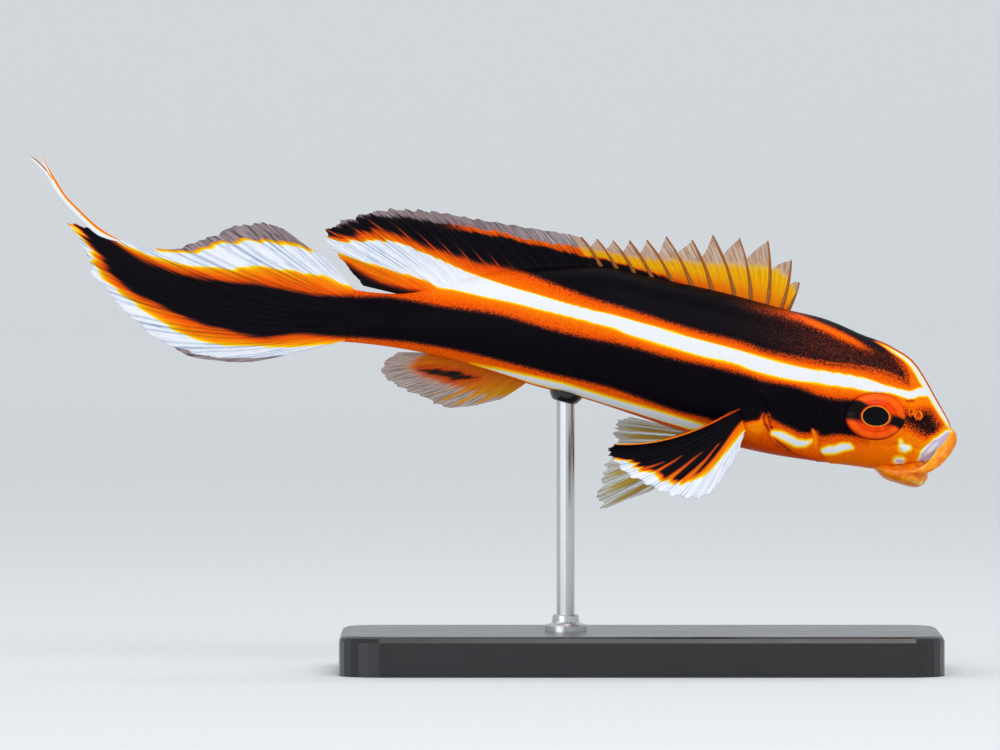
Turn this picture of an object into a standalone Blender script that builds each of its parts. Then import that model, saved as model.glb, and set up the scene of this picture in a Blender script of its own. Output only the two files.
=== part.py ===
"""Life-size display model of a juvenile lessons sweetlips, swimming nose down over a flat stand.

The fish lies along X with its head at +X and its right side facing -Y. The origin is the middle
of the stand's underside. All named sizes are millimetres; MM turns them into metres.
"""

import math

import bmesh
import bpy
import numpy as np

MM = 0.001
GAP = 0.3
WELD = 0.00001

# Body stations from the tail root to the tip of the snout: the midline point of the back (x, z),
# the midline point of the belly (x, z) and the half width
STATIONS = np.array(
    (
        (-28.8, 38.2, -29.7, 32.85, 0.95),
        (-26.5, 37.75, -27.6, 32.65, 1.2),
        (-22.8, 37.75, -23.6, 32.1, 1.55),
        (-19.0, 38.75, -20.1, 31.4, 2.1),
        (-14.0, 39.9, -15.4, 30.05, 2.9),
        (-9.0, 40.6, -10.7, 28.5, 3.5),
        (-3.7, 41.0, -5.7, 27.2, 3.95),
        (1.4, 39.7, -0.8, 25.6, 4.2),
        (7.3, 38.0, 5.0, 23.65, 4.35),
        (14.5, 36.1, 12.7, 21.7, 4.4),
        (18.5, 35.1, 16.8, 21.05, 4.3),
        (22.1, 33.55, 21.0, 20.5, 4.05),
        (25.0, 32.15, 23.7, 20.2, 3.75),
        (27.1, 30.7, 25.4, 20.45, 3.4),
        (28.2, 29.1, 26.7, 20.65, 3.05),
        (29.2, 27.3, 27.8, 20.85, 2.65),
        (30.1, 25.7, 29.0, 21.3, 2.1),
        (30.6, 24.75, 30.2, 22.15, 1.4),
        (30.85, 24.1, 30.75, 23.1, 0.7),
    )
)
KNOTS = (STATIONS[:, 0] + STATIONS[:, 2]) / 2
BODY_SQUARENESS = 2.3
TAIL_STATION = KNOTS[0]
SNOUT_STATION = KNOTS[-1]

# The tail sweeps to the left, as a square of the distance behind this place
BEND_START_X = 10.0
BEND_LENGTH = 71.0
BEND_SWEEP = 5.0

# Where the body is parted
STALK_STATION = -23.6
CUT_SHIFT = 0.15
GILL_STATION = 12.4
GILL_HEIGHT = -0.3
GILL_UPPER_CURVE = 1.66
GILL_LOWER_CURVE = 10.2
GILL_CUT_SHIFT = 0.2

BODY_SIDES = 32
TRUNK_RINGS = 22
HEAD_RINGS = 20
STALK_RINGS = 5

# Gill cover plates
COVER_LENGTH = 5.0
COVER_LOW_ANGLE = -60.0
COVER_HIGH_ANGLE = 14.0
COVER_RAISE = 0.15
COVER_DEPTH = 0.7
COVER_CORNER = 0.55
FLANK_RADIUS = 6.0
RECESS_LIFT = 1.2
RECESS_REACH = 1.0
COVER_COLUMNS = 9
COVER_ROWS = 8

# Eyes
EYE_X = 23.4
EYE_Y = 3.5
EYE_Z = 25.5
EYE_HALF = (3.25, 1.0, 2.55)
EYE_TURN = 8.0
RIM_RADIUS = 0.42
RIM_STEPS = 28
RIM_SIDES = 6
EYE_SEGMENTS = 20
EYE_RINGS = 12

# Nostrils on each side: (x, z, radius)
NOSTRILS = ((27.6, 25.6, 0.32), (26.85, 25.95, 0.28))
NOSTRIL_DEPTH = 0.6
NOSTRIL_SEGMENTS = 10
NOSTRIL_RINGS = 6

# Part of the head that carries the eyes and nostrils, as stations and angles
FACE_STATIONS = (18.0, 30.0)
FACE_ANGLES = (-60.0, 60.0)
FACE_SAMPLES = 61

# Upper lip: a band that runs round the snout in a sloping plane
LIP_REAR_X = 27.1
LIP_REACH = 4.0
LIP_HALF_WIDTH = 2.45
LIP_REAR_Z = 19.85
LIP_RISE = 3.5
LIP_SWEEP_ANGLE = 96.0
LIP_THICKNESS = 0.42
LIP_FRONT_HEIGHT = 0.95
LIP_SIDE_HEIGHT = 0.5
LIP_END_HEIGHT = 0.75
LIP_END_SHARPNESS = 2.2
LIP_END_ROUNDING = 0.35
LIP_END_STEPS = 2
LIP_SIDE_SLOPE = 42.0
LIP_FRONT_SLOPE = 8.0
LIP_STEPS = 26
LIP_SIDES = 10

# Lower jaw: axis from the joint to the lip (x, z), half width and half height along it
JAW = np.array(
    (
        (23.3, 20.5, 1.2, 0.35),
        (24.3, 20.05, 2.0, 0.85),
        (25.6, 19.75, 2.15, 1.0),
        (26.8, 19.45, 2.05, 1.05),
        (27.6, 19.4, 1.75, 1.05),
        (28.2, 19.5, 1.2, 0.85),
        (28.5, 19.6, 0.5, 0.45),
    )
)
JAW_SIDES = 20
JAW_SEAT_STATION = 19.0

# Stand
BASE_LENGTH = 60.0
BASE_WIDTH = 26.0
BASE_HEIGHT = 4.0
BASE_CORNER = 4.0
BASE_EDGE = 0.6
CORNER_SEGMENTS = 6
EDGE_SEGMENTS = 2
TOP_TOLERANCE = 0.1
ROD_X = -7.5
ROD_RADIUS = 0.9
ROD_SIDES = 20

# Fins. A guide ray holds its place among the rays, its root, its tip (x, z) and its bow, the
# height of its arc as a share of its length
RAY_HALF = 0.42
WEB_HALF = 0.26
TIP_SHARE = 0.62
RAY_WIDTH = 0.17
RAY_NOTCH = 0.03
ROOT_SHARE = 0.25
FIN_ROWS = 5

SPINY_ROOTS = (14.5, 13.9, 12.6, 11.05, 9.5, 7.3, 5.3, 3.4, 1.4, -0.35, -2.1, -3.7)
SPINY_TIPS = (
    (15.8, 38.8),
    (15.0, 41.0),
    (12.65, 42.95),
    (9.8, 43.2),
    (7.15, 43.5),
    (5.1, 43.0),
    (2.5, 43.35),
    (0.6, 43.0),
    (-1.15, 42.95),
    (-2.8, 42.95),
    (-4.4, 43.1),
    (-5.95, 43.3),
)
SPINY_BOW = 0.09
SPINY_WEB = 0.68
SPINY_WEB_TOP = 0.9

SOFT_DORSAL_RAYS = 20
SOFT_DORSAL = (
    (0, -4.6, -7.1, 43.65, 0.06),
    (5, -11.0, -16.2, 45.15, 0.06),
    (9, -15.4, -22.2, 46.1, 0.06),
    (13, -19.0, -28.1, 45.7, 0.05),
    (15, -20.6, -31.5, 44.1, 0.03),
    (16, -21.2, -31.6, 43.0, 0.02),
    (17, -21.7, -30.3, 41.4, 0.0),
    (18, -22.2, -28.9, 39.7, 0.0),
    (19, -22.6, -27.8, 38.45, 0.0),
)

ANAL_RAYS = 11
ANAL = (
    (0, -11.0, -14.1, 27.05, -0.05),
    (1, -11.9, -16.9, 26.4, -0.05),
    (2, -12.8, -19.25, 26.2, -0.04),
    (4, -14.6, -21.9, 27.3, -0.04),
    (6, -16.4, -24.4, 28.3, -0.03),
    (8, -17.8, -26.1, 29.9, 0.0),
    (9, -18.5, -25.6, 30.7, 0.0),
    (10, -19.2, -24.7, 31.2, 0.0),
)

CAUDAL_RAYS = 17
CAUDAL_ROOT_TOP = (-29.15, 38.15)
CAUDAL_ROOT_LOW = (-30.05, 32.9)
CAUDAL = (
    (0, -31.6, 41.3, 0.0),
    (1, -33.8, 42.7, 0.0),
    (2, -35.8, 44.2, 0.02),
    (3, -38.1, 44.85, 0.04),
    (4, -41.0, 44.4, 0.06),
    (5, -44.4, 43.05, 0.08),
    (6, -48.5, 42.15, 0.1),
    (7, -52.2, 43.1, 0.15),
    (8, -54.7, 44.2, 0.18),
    (9, -56.9, 44.5, 0.19),
    (10, -55.6, 42.3, 0.17),
    (11, -54.8, 39.7, 0.14),
    (12, -52.2, 36.55, 0.11),
    (13, -49.0, 33.65, 0.08),
    (14, -44.9, 31.6, 0.05),
    (15, -39.5, 31.05, 0.03),
    (16, -34.5, 31.8, 0.0),
)
CAUDAL_ROOT_HALF = 0.62
CAUDAL_ROWS = 8
CAUDAL_NOTCH = 0.015

# The thread that carries on from the tail's point, and its fork
THREAD_PATH = (
    (-54.6, 43.7),
    (-55.6, 44.7),
    (-56.4, 45.7),
    (-57.2, 46.9),
    (-57.9, 48.0),
    (-58.6, 49.15),
    (-59.15, 50.3),
    (-60.2, 51.65),
)
THREAD_FORK = ((-58.3, 48.8), (-59.3, 49.7), (-60.3, 50.6), (-61.1, 51.3))
THREAD_HALF_WIDTH = 0.42
THREAD_HALF = 0.36
THREAD_TAPER = 0.6

# Paired fins: guide rays as (place, root station, root angle, tip x, tip z, reach outward, bow)
PECTORAL_RAYS = 15
PECTORAL = (
    (0, 10.1, -26.0, -3.5, 22.4, 4.6, -0.08),
    (2, 10.2, -28.5, -3.05, 21.3, 4.6, -0.07),
    (4, 10.35, -31.0, -1.6, 20.1, 4.4, -0.05),
    (6, 10.5, -34.0, 0.5, 18.75, 4.2, -0.03),
    (8, 10.65, -37.0, 3.0, 17.8, 3.9, 0.0),
    (10, 10.8, -40.0, 5.4, 17.5, 3.5, 0.0),
    (12, 10.95, -43.0, 7.9, 19.0, 2.9, 0.0),
    (13, 11.05, -44.5, 9.0, 20.6, 2.3, 0.0),
    (14, 11.1, -46.0, 9.9, 22.4, 1.4, 0.0),
)
PELVIC_RAYS = 6
PELVIC_ROWS = 6
PELVIC = (
    (0, 9.6, -74.0, 0.5, 17.9, 2.0, -0.03),
    (1, 9.2, -75.0, -4.2, 16.1, 2.3, -0.03),
    (2, 8.9, -76.0, -4.6, 17.6, 2.1, -0.02),
    (3, 8.5, -77.0, -4.4, 19.2, 1.9, 0.0),
    (4, 8.1, -78.0, -3.9, 20.5, 1.6, 0.0),
    (5, 7.7, -79.0, -3.2, 21.3, 1.3, 0.0),
)
PELVIC_FAR = (
    (0, 9.6, -74.0, 1.9, 21.2, 3.0, -0.03),
    (1, 9.2, -75.0, -2.2, 22.4, 3.4, -0.03),
    (2, 8.9, -76.0, -2.9, 23.4, 3.2, -0.02),
    (3, 8.5, -77.0, -2.8, 24.2, 3.0, 0.0),
    (4, 8.1, -78.0, -2.4, 25.0, 2.8, 0.0),
    (5, 7.7, -79.0, -1.2, 25.3, 2.6, 0.0),
)

LEFT = 1
RIGHT = -1


def clear_scene():
    for thing in list(bpy.data.objects):
        bpy.data.objects.remove(thing)


def new_collection(name):
    made = bpy.data.collections.new(name)
    bpy.context.scene.collection.children.link(made)
    return made


def principled(name, colour, roughness, metallic=0.0):
    """Material with one base colour, given as linear red, green and blue."""
    made = bpy.data.materials.new(name)
    made.use_nodes = True
    shader = made.node_tree.nodes["Principled BSDF"]
    shader.inputs["Base Color"].default_value = (*colour, 1.0)
    shader.inputs["Roughness"].default_value = roughness
    shader.inputs["Metallic"].default_value = metallic
    return made


def through(knots, values, at):
    """Smooth curve through the values at the knots, read at one or many places."""
    knots = np.asarray(knots, float)
    values = np.asarray(values, float)
    slopes = np.gradient(values, knots, axis=0)
    at = np.clip(np.asarray(at, float), knots[0], knots[-1])
    low = np.clip(np.searchsorted(knots, at, side="right") - 1, 0, len(knots) - 2)
    step = (knots[low + 1] - knots[low])[..., None]
    t = (at - knots[low])[..., None] / step
    start = (1 + 2 * t) * (1 - t) ** 2 * values[low] + t * (1 - t) ** 2 * step * slopes[low]
    end = t**2 * (3 - 2 * t) * values[low + 1] + t**2 * (t - 1) * step * slopes[low + 1]
    return start + end


def bend(x):
    behind = np.clip((BEND_START_X - x) / BEND_LENGTH, 0.0, None)
    return BEND_SWEEP * behind**2


def bent(points):
    points = np.array(points, float)
    points[..., 1] += bend(points[..., 0])
    return points


def body_point(station, angle, out=0.0):
    """Point of the skin before the bend. The angle in degrees is 0 on the left, 90 on the back."""
    station, angle = np.broadcast_arrays(station, np.radians(angle))
    row = through(KNOTS, STATIONS, station)
    middle = (row[..., 0:2] + row[..., 2:4]) / 2
    half = (row[..., 0:2] - row[..., 2:4]) / 2
    length = np.linalg.norm(half, axis=-1)
    power = 2 / BODY_SQUARENESS
    across = np.sign(np.cos(angle)) * np.abs(np.cos(angle)) ** power
    up = np.sign(np.sin(angle)) * np.abs(np.sin(angle)) ** power * (1 + out / length)
    x = middle[..., 0] + half[..., 0] * up
    z = middle[..., 1] + half[..., 1] * up
    return np.stack((x, across * (row[..., 4] + out), z), axis=-1)


def midline_point(x, upper, out):
    """Point of the back or the belly at this x, moved out from the skin."""
    column = 0 if upper else 2
    station = np.interp(x, STATIONS[:, column], KNOTS)
    return body_point(station, 90.0 if upper else -90.0, out)


def gill_station(angle):
    """Station of the gill opening, which leans forward on the back and below the throat."""
    height = np.sin(np.radians(angle)) - GILL_HEIGHT
    curve = np.where(height > 0, GILL_UPPER_CURVE, GILL_LOWER_CURVE)
    return GILL_STATION + curve * height**2


def mesh_object(name, points, faces, collection, material=None):
    mesh = bpy.data.meshes.new(name)
    mesh.from_pydata([tuple(point * MM) for point in np.asarray(points)], [], faces)
    mesh.validate()
    made = bpy.data.objects.new(name, mesh)
    collection.objects.link(made)
    if material:
        mesh.materials.append(material)
    face_outward(made)
    return made


def face_outward(thing):
    cage = bmesh.new()
    cage.from_mesh(thing.data)
    bmesh.ops.recalc_face_normals(cage, faces=cage.faces)
    cage.to_mesh(thing.data)
    cage.free()


def shade_round(thing, sharp_degrees=40.0):
    thing.data.shade_smooth()
    thing.data.set_sharp_from_angle(angle=math.radians(sharp_degrees))


def tube_object(name, rings, collection, material=None):
    """Closed body through rings of points, each end closed by a fan round its middle."""
    count, sides = rings.shape[:2]
    points = list(rings.reshape(-1, 3)) + [rings[0].mean(axis=0), rings[-1].mean(axis=0)]
    faces = []
    for ring in range(count - 1):
        for side in range(sides):
            here = ring * sides + side
            there = ring * sides + (side + 1) % sides
            faces.append((here, there, there + sides, here + sides))
    last = (count - 1) * sides
    for side in range(sides):
        following = (side + 1) % sides
        faces.append((following, side, count * sides))
        faces.append((last + side, last + following, count * sides + 1))
    return mesh_object(name, points, faces, collection, material)


def ring_object(name, rings, collection):
    """Closed band through rings of points, joined end to end."""
    count, sides = rings.shape[:2]
    faces = []
    for ring in range(count):
        following = (ring + 1) % count
        for side in range(sides):
            after = (side + 1) % sides
            here, there = ring * sides, following * sides
            faces.append((here + side, here + after, there + after, there + side))
    return mesh_object(name, rings.reshape(-1, 3), faces, collection)


def body_length(name, rear, front, rings, collection, material=None, out=0.0):
    """Length of the body between two stations, which may change round the body."""
    angles = np.arange(BODY_SIDES) * 360.0 / BODY_SIDES
    share = np.linspace(0.0, 1.0, rings + 1)[:, None]
    station = rear + (front - rear) * share + 0.0 * angles
    return tube_object(name, bent(body_point(station, angles, out)), collection, material)


def boolean(thing, others, operation):
    """Cut or join the objects with others, then remove them, keeping the largest closed body."""
    tools = new_collection("tools_of_" + thing.name)
    for other in others:
        for holder in list(other.users_collection):
            holder.objects.unlink(other)
        tools.objects.link(other)
    step = thing.modifiers.new(operation.title(), "BOOLEAN")
    step.operation = operation
    step.operand_type = "COLLECTION"
    step.collection = tools
    step.solver = "EXACT"
    bpy.context.view_layer.update()
    result = thing.evaluated_get(bpy.context.evaluated_depsgraph_get())
    mesh = bpy.data.meshes.new_from_object(result)
    mesh.name = thing.name
    thing.modifiers.clear()
    thing.data = mesh
    for other in others:
        bpy.data.objects.remove(other)
    bpy.data.collections.remove(tools)
    keep_largest(thing)


def keep_largest(thing):
    cage = bmesh.new()
    cage.from_mesh(thing.data)
    bmesh.ops.remove_doubles(cage, verts=cage.verts, dist=WELD)
    left = set(cage.faces)
    shells = []
    while left:
        shell = set()
        waiting = [next(iter(left))]
        while waiting:
            face = waiting.pop()
            if face in shell:
                continue
            shell.add(face)
            waiting.extend(other for edge in face.edges for other in edge.link_faces)
        left -= shell
        shells.append(shell)
    largest = max(shells, key=lambda shell: sum(face.calc_area() for face in shell))
    loose = [face for face in cage.faces if face not in largest]
    bmesh.ops.delete(cage, geom=loose, context="FACES")
    cage.to_mesh(thing.data)
    cage.free()


def ellipsoid(name, centre, half, segments, rings, collection, material=None, turn=0.0):
    """Ellipsoid with its poles along Y, turned about Z by some degrees."""
    cage = bmesh.new()
    bmesh.ops.create_uvsphere(cage, u_segments=segments, v_segments=rings, radius=1.0)
    made_points = []
    cosine, sine = math.cos(math.radians(turn)), math.sin(math.radians(turn))
    for point in cage.verts:
        x, y, z = point.co.x * half[0], point.co.z * half[1], point.co.y * half[2]
        moved = (x * cosine - y * sine, x * sine + y * cosine, z)
        made_points.append(np.array(moved) + np.array(centre))
    faces = [[point.index for point in face.verts] for face in cage.faces]
    cage.free()
    return mesh_object(name, made_points, faces, collection, material)


def cover_patch(name, side, grow, lift, depth, collection, material=None):
    """Curved plate over the gills, from the gill opening to the edge of the cheek."""
    middle = (COVER_LOW_ANGLE + COVER_HIGH_ANGLE) / 2
    reach = (COVER_HIGH_ANGLE - COVER_LOW_ANGLE) / 2
    grow_angle = math.degrees(grow / FLANK_RADIUS)
    across = np.linspace(-1.0, 1.0, COVER_ROWS + 1)[:, None]
    along = np.linspace(0.0, 1.0, COVER_COLUMNS + 1)[None, :]
    angle = middle + across * (reach + grow_angle)
    rear = gill_station(angle) + (GILL_CUT_SHIFT if grow == 0 else -RECESS_REACH)
    front = gill_station(angle) + COVER_LENGTH * (1 - COVER_CORNER * np.abs(across) ** 3) + grow
    station = rear + (front - rear) * along
    sheets = []
    for out in (lift, -depth):
        sheet = body_point(station, angle + 0.0 * along, out)
        sheet[..., 1] *= side
        sheets.append(bent(sheet))
    return sheet_object(name, sheets[0], sheets[1], collection, material)


def sheet_object(name, outer, inner, collection, material=None):
    """Closed body between two like grids of points, split alike on both faces."""
    rows, columns = outer.shape[:2]
    count = rows * columns
    points = np.concatenate((outer.reshape(-1, 3), inner.reshape(-1, 3)))
    faces = []
    for row in range(rows - 1):
        for column in range(columns - 1):
            a = row * columns + column
            b, c, d = a + 1, a + columns + 1, a + columns
            faces += [(a, b, c), (a, c, d)]
            faces += [(a + count, c + count, b + count), (a + count, d + count, c + count)]
    rim = list(range(columns))
    rim += [row * columns + columns - 1 for row in range(1, rows)]
    rim += [(rows - 1) * columns + column for column in range(columns - 2, -1, -1)]
    rim += [row * columns for row in range(rows - 2, 0, -1)]
    for here, there in zip(rim, rim[1:] + rim[:1]):
        faces += [(here, here + count, there + count), (here, there + count, there)]
    return mesh_object(name, points, faces, collection, material)


def ray_arc(root, tip, bow, side_vector, share):
    """Point of a bowed ray. The bow lifts its middle toward the side vector."""
    length = np.linalg.norm(tip - root, axis=-1, keepdims=True)
    middle = (root + tip) / 2 + side_vector * bow * length
    return (1 - share) ** 2 * root + 2 * share * (1 - share) * middle + share**2 * tip


def ray_columns(count, width, notch):
    """Columns of a rayed fin as (place among the rays, full length share, ridge share)."""
    columns = []
    for ray in range(count):
        if ray > 0:
            columns.append((ray - width, 1.0 - notch, 0.0))
        columns.append((float(ray), 1.0, 1.0))
        if ray < count - 1:
            columns.append((ray + width, 1.0 - notch, 0.0))
    return np.array(columns)


def fin_normals(grid):
    """Unit normals of a grid of points."""
    along = np.gradient(grid, axis=0)
    across = np.gradient(grid, axis=1)
    normals = np.cross(along, across)
    return normals / np.linalg.norm(normals, axis=-1, keepdims=True)


def rayed_fin(name, columns, root, tip, bow, side_vector, rows, collection, material, root_half=0.0):
    """Fin with ridges along its rays. Root, tip and bow hold a value for each column."""
    share = np.linspace(0.0, 1.0, rows + 1)[None, :, None] * columns[:, 1][:, None, None]
    grid = ray_arc(root[:, None, :], tip[:, None, :], bow[:, None, None], side_vector, share)
    thin = 1 - (1 - TIP_SHARE) * share[..., 0]
    half = (WEB_HALF + (RAY_HALF - WEB_HALF) * columns[:, 2][:, None]) * thin
    if root_half:
        half = half + (root_half - WEB_HALF) * np.clip(1 - share[..., 0] / ROOT_SHARE, 0.0, 1.0)
    offset = fin_normals(grid) * half[..., None]
    return sheet_object(name, bent(grid + offset), bent(grid - offset), collection, material)


def median_fin(name, guides, rays, upper, collection, material):
    """Fin on the midline. The roots follow the back or the belly at a small gap."""
    guides = np.array(guides)
    columns = ray_columns(rays, RAY_WIDTH, RAY_NOTCH)
    row = through(guides[:, 0], guides[:, 1:], columns[:, 0])
    root = midline_point(row[:, 0], upper, GAP)
    tip = np.stack((row[:, 1], 0.0 * row[:, 1], row[:, 2]), axis=-1)
    upward = np.array((0.0, 0.0, 1.0))
    return rayed_fin(name, columns, root, tip, row[:, 3], upward, FIN_ROWS, collection, material)


def spiny_dorsal(collection, material):
    """Spines with free tips. The web leaves each tip and meets the next spine lower down."""
    places = []
    for spine in range(len(SPINY_ROOTS)):
        if spine > 0:
            places.append((spine - RAY_WIDTH, SPINY_WEB, 0.0))
        places.append((float(spine), 1.0, 1.0))
        if spine < len(SPINY_ROOTS) - 1:
            places.append((spine + RAY_WIDTH, SPINY_WEB_TOP, 0.0))
    columns = np.array(places)
    ray = np.arange(len(SPINY_ROOTS))
    table = np.column_stack((SPINY_ROOTS, SPINY_TIPS))
    row = through(ray, table, columns[:, 0])
    root = midline_point(row[:, 0], True, GAP)
    tip = np.stack((row[:, 1], 0.0 * row[:, 1], row[:, 2]), axis=-1)
    bow = np.full(len(columns), SPINY_BOW)
    side_vector = np.array((1.0, 0.0, 0.0))
    name = "dorsal_fin_spiny"
    return rayed_fin(name, columns, root, tip, bow, side_vector, FIN_ROWS, collection, material)


def caudal_fin(collection, material):
    """Tail fin, drawn out to a point that carries a forked thread."""
    guides = np.array(CAUDAL)
    columns = ray_columns(CAUDAL_RAYS, RAY_WIDTH, CAUDAL_NOTCH)
    row = through(guides[:, 0], guides[:, 1:], columns[:, 0])
    share = columns[:, 0] / (CAUDAL_RAYS - 1)
    top, low = np.array(CAUDAL_ROOT_TOP), np.array(CAUDAL_ROOT_LOW)
    place = top + (low - top) * share[:, None]
    root = np.stack((place[:, 0], 0.0 * share, place[:, 1]), axis=-1)
    tip = np.stack((row[:, 0], 0.0 * share, row[:, 1]), axis=-1)
    side_vector = np.array((0.0, 0.0, -1.0))
    fin = rayed_fin(
        "caudal_fin",
        columns,
        root,
        tip,
        row[:, 2],
        side_vector,
        CAUDAL_ROWS,
        collection,
        material,
        CAUDAL_ROOT_HALF,
    )
    threads = [thread("thread", THREAD_PATH, collection), thread("fork", THREAD_FORK, collection)]
    boolean(fin, threads, "UNION")
    return fin


def thread(name, path, collection):
    """Flat tapered strip along a path of (x, z) points."""
    path = np.array(path)
    place = np.linspace(0, len(path) - 1, 2 * len(path))
    line = through(np.arange(len(path)), path, place)
    run = np.gradient(line, axis=0)
    run /= np.linalg.norm(run, axis=1, keepdims=True)
    across = np.stack((-run[:, 1], run[:, 0]), axis=-1)
    taper = 1 - THREAD_TAPER * (place / place[-1]) ** 2
    edges = []
    for side in (-1, 0, 1):
        flat = line + side * across * (THREAD_HALF_WIDTH * taper)[:, None]
        edges.append(np.stack((flat[:, 0], 0.0 * place, flat[:, 1]), axis=-1))
    grid = np.array(edges)
    offset = np.array((0.0, 1.0, 0.0)) * (THREAD_HALF * taper)[None, :, None]
    return sheet_object(name, bent(grid + offset), bent(grid - offset), collection)


def paired_fin(name, guides, rays, side, rows, collection, material):
    """Fin spread out from the flank."""
    guides = np.array(guides)
    columns = ray_columns(rays, RAY_WIDTH, RAY_NOTCH)
    row = through(guides[:, 0], guides[:, 1:], columns[:, 0])
    root = body_point(row[:, 0], row[:, 1], GAP + RAY_HALF)
    outward = root[:, 1] + row[:, 4]
    tip = np.stack((row[:, 2], outward, row[:, 3]), axis=-1)
    root[:, 1] *= side
    tip[:, 1] *= side
    side_vector = np.array((0.0, 0.0, 1.0))
    return rayed_fin(name, columns, root, tip, row[:, 5], side_vector, rows, collection, material)


def upper_lip(collection, material, grow=0.0):
    """Band of the upper lip, from the end of one cheek bone round the front to the other."""
    turn = np.radians(np.linspace(-LIP_SWEEP_ANGLE, LIP_SWEEP_ANGLE, LIP_STEPS + 1))
    x = LIP_REAR_X + LIP_REACH * np.cos(turn)
    y = LIP_HALF_WIDTH * np.sin(turn)
    z = LIP_REAR_Z + LIP_RISE * np.cos(turn) * np.abs(np.cos(turn))
    frontness = np.clip(np.cos(turn), 0.0, 1.0) ** 3
    rearness = 1 - np.clip(np.cos(turn) * LIP_END_SHARPNESS, 0.0, 1.0)
    height = LIP_SIDE_HEIGHT + (LIP_FRONT_HEIGHT - LIP_SIDE_HEIGHT) * frontness
    height = height + (LIP_END_HEIGHT - LIP_SIDE_HEIGHT) * rearness
    step = np.arange(LIP_STEPS + 1)
    end = np.clip(np.minimum(step, LIP_STEPS - step) / LIP_END_STEPS, 0, 1)
    rounding = LIP_END_ROUNDING + (1 - LIP_END_ROUNDING) * np.sqrt(end)
    slope = np.radians(LIP_SIDE_SLOPE * (1 - frontness) + LIP_FRONT_SLOPE * frontness)
    rings = []
    for i in range(LIP_STEPS + 1):
        centre = np.array((x[i], y[i], z[i]))
        outward = np.array((math.cos(turn[i]), math.sin(turn[i]), 0.0))
        upward = np.array((-math.sin(slope[i]), 0.0, math.cos(slope[i])))
        ring = []
        for side in range(LIP_SIDES):
            angle = 2 * math.pi * side / LIP_SIDES
            thick = (LIP_THICKNESS * rounding[i] + grow) * math.cos(angle)
            tall = (height[i] * rounding[i] + grow) * math.sin(angle)
            ring.append(centre + outward * thick + upward * tall)
        rings.append(ring)
    return tube_object("upper_lip", bent(np.array(rings)), collection, material)


def lower_jaw(collection, material):
    place = np.linspace(0, len(JAW) - 1, 2 * len(JAW) + 1)
    line = through(np.arange(len(JAW)), JAW, place)
    angle = np.arange(JAW_SIDES) * 2 * math.pi / JAW_SIDES
    rings = []
    for x, z, half_width, half_height in line:
        up = np.sin(angle) * half_height
        ring = np.stack((x + 0.0 * angle, np.cos(angle) * half_width, z + up), axis=-1)
        rings.append(ring)
    return tube_object("lower_jaw", bent(np.array(rings)), collection, material)


def eye_piece(name, side, grow, collection, material=None):
    half = [size + grow for size in EYE_HALF]
    centre = (EYE_X, EYE_Y * side, EYE_Z)
    turn = -EYE_TURN * side
    return ellipsoid(name, centre, half, EYE_SEGMENTS, EYE_RINGS, collection, material, turn)


def head_width(x, z):
    """Distance of the head's skin from the midline, at this place in the side view."""
    station = np.linspace(*FACE_STATIONS, FACE_SAMPLES)
    angles = np.linspace(*FACE_ANGLES, FACE_SAMPLES)
    skin = body_point(station[:, None], angles[None, :])
    distance = np.hypot(skin[..., 0] - x, skin[..., 2] - z)
    return skin[np.unravel_index(distance.argmin(), distance.shape)][1]


def nostril_cutter(name, side, x, z, radius, collection):
    half = (radius, NOSTRIL_DEPTH, radius)
    centre = (x, head_width(x, z) * side, z)
    return ellipsoid(name, centre, half, NOSTRIL_SEGMENTS, NOSTRIL_RINGS, collection)


def eye_rim(name, side, collection):
    """Rim of skin round the eye, half sunk in the head."""
    rings = []
    for step in range(RIM_STEPS + 1):
        turn = 2 * math.pi * step / RIM_STEPS
        outward = np.array((math.cos(turn), 0.0, math.sin(turn)))
        x = EYE_X + EYE_HALF[0] * outward[0]
        z = EYE_Z + EYE_HALF[2] * outward[2]
        centre = np.array((x, head_width(x, z) * side, z))
        ring = []
        for place in range(RIM_SIDES):
            angle = 2 * math.pi * place / RIM_SIDES
            sideways = np.array((0.0, math.sin(angle) * RIM_RADIUS, 0.0))
            ring.append(centre + outward * math.cos(angle) * RIM_RADIUS + sideways)
        rings.append(ring)
    return ring_object(name, bent(np.array(rings[:-1])), collection)


def stand_base(collection, material):
    cage = bmesh.new()
    bmesh.ops.create_cube(cage, size=1.0)
    bmesh.ops.scale(cage, verts=cage.verts, vec=(BASE_LENGTH * MM, BASE_WIDTH * MM, BASE_HEIGHT * MM))
    bmesh.ops.translate(cage, verts=cage.verts, vec=(0.0, 0.0, BASE_HEIGHT / 2 * MM))
    uprights = [edge for edge in cage.edges if abs(edge.verts[0].co.z - edge.verts[1].co.z) > MM]
    corner = {"offset": BASE_CORNER * MM, "segments": CORNER_SEGMENTS, "profile": 0.5}
    bmesh.ops.bevel(cage, geom=uprights, affect="EDGES", **corner)
    level = (BASE_HEIGHT - TOP_TOLERANCE) * MM
    top = [edge for edge in cage.edges if all(point.co.z > level for point in edge.verts)]
    rounded = {"offset": BASE_EDGE * MM, "segments": EDGE_SEGMENTS, "profile": 0.5}
    bmesh.ops.bevel(cage, geom=top, affect="EDGES", **rounded)
    mesh = bpy.data.meshes.new("stand_base")
    cage.to_mesh(mesh)
    cage.free()
    mesh.materials.append(material)
    made = bpy.data.objects.new("stand_base", mesh)
    collection.objects.link(made)
    shade_round(made)
    return made


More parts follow.
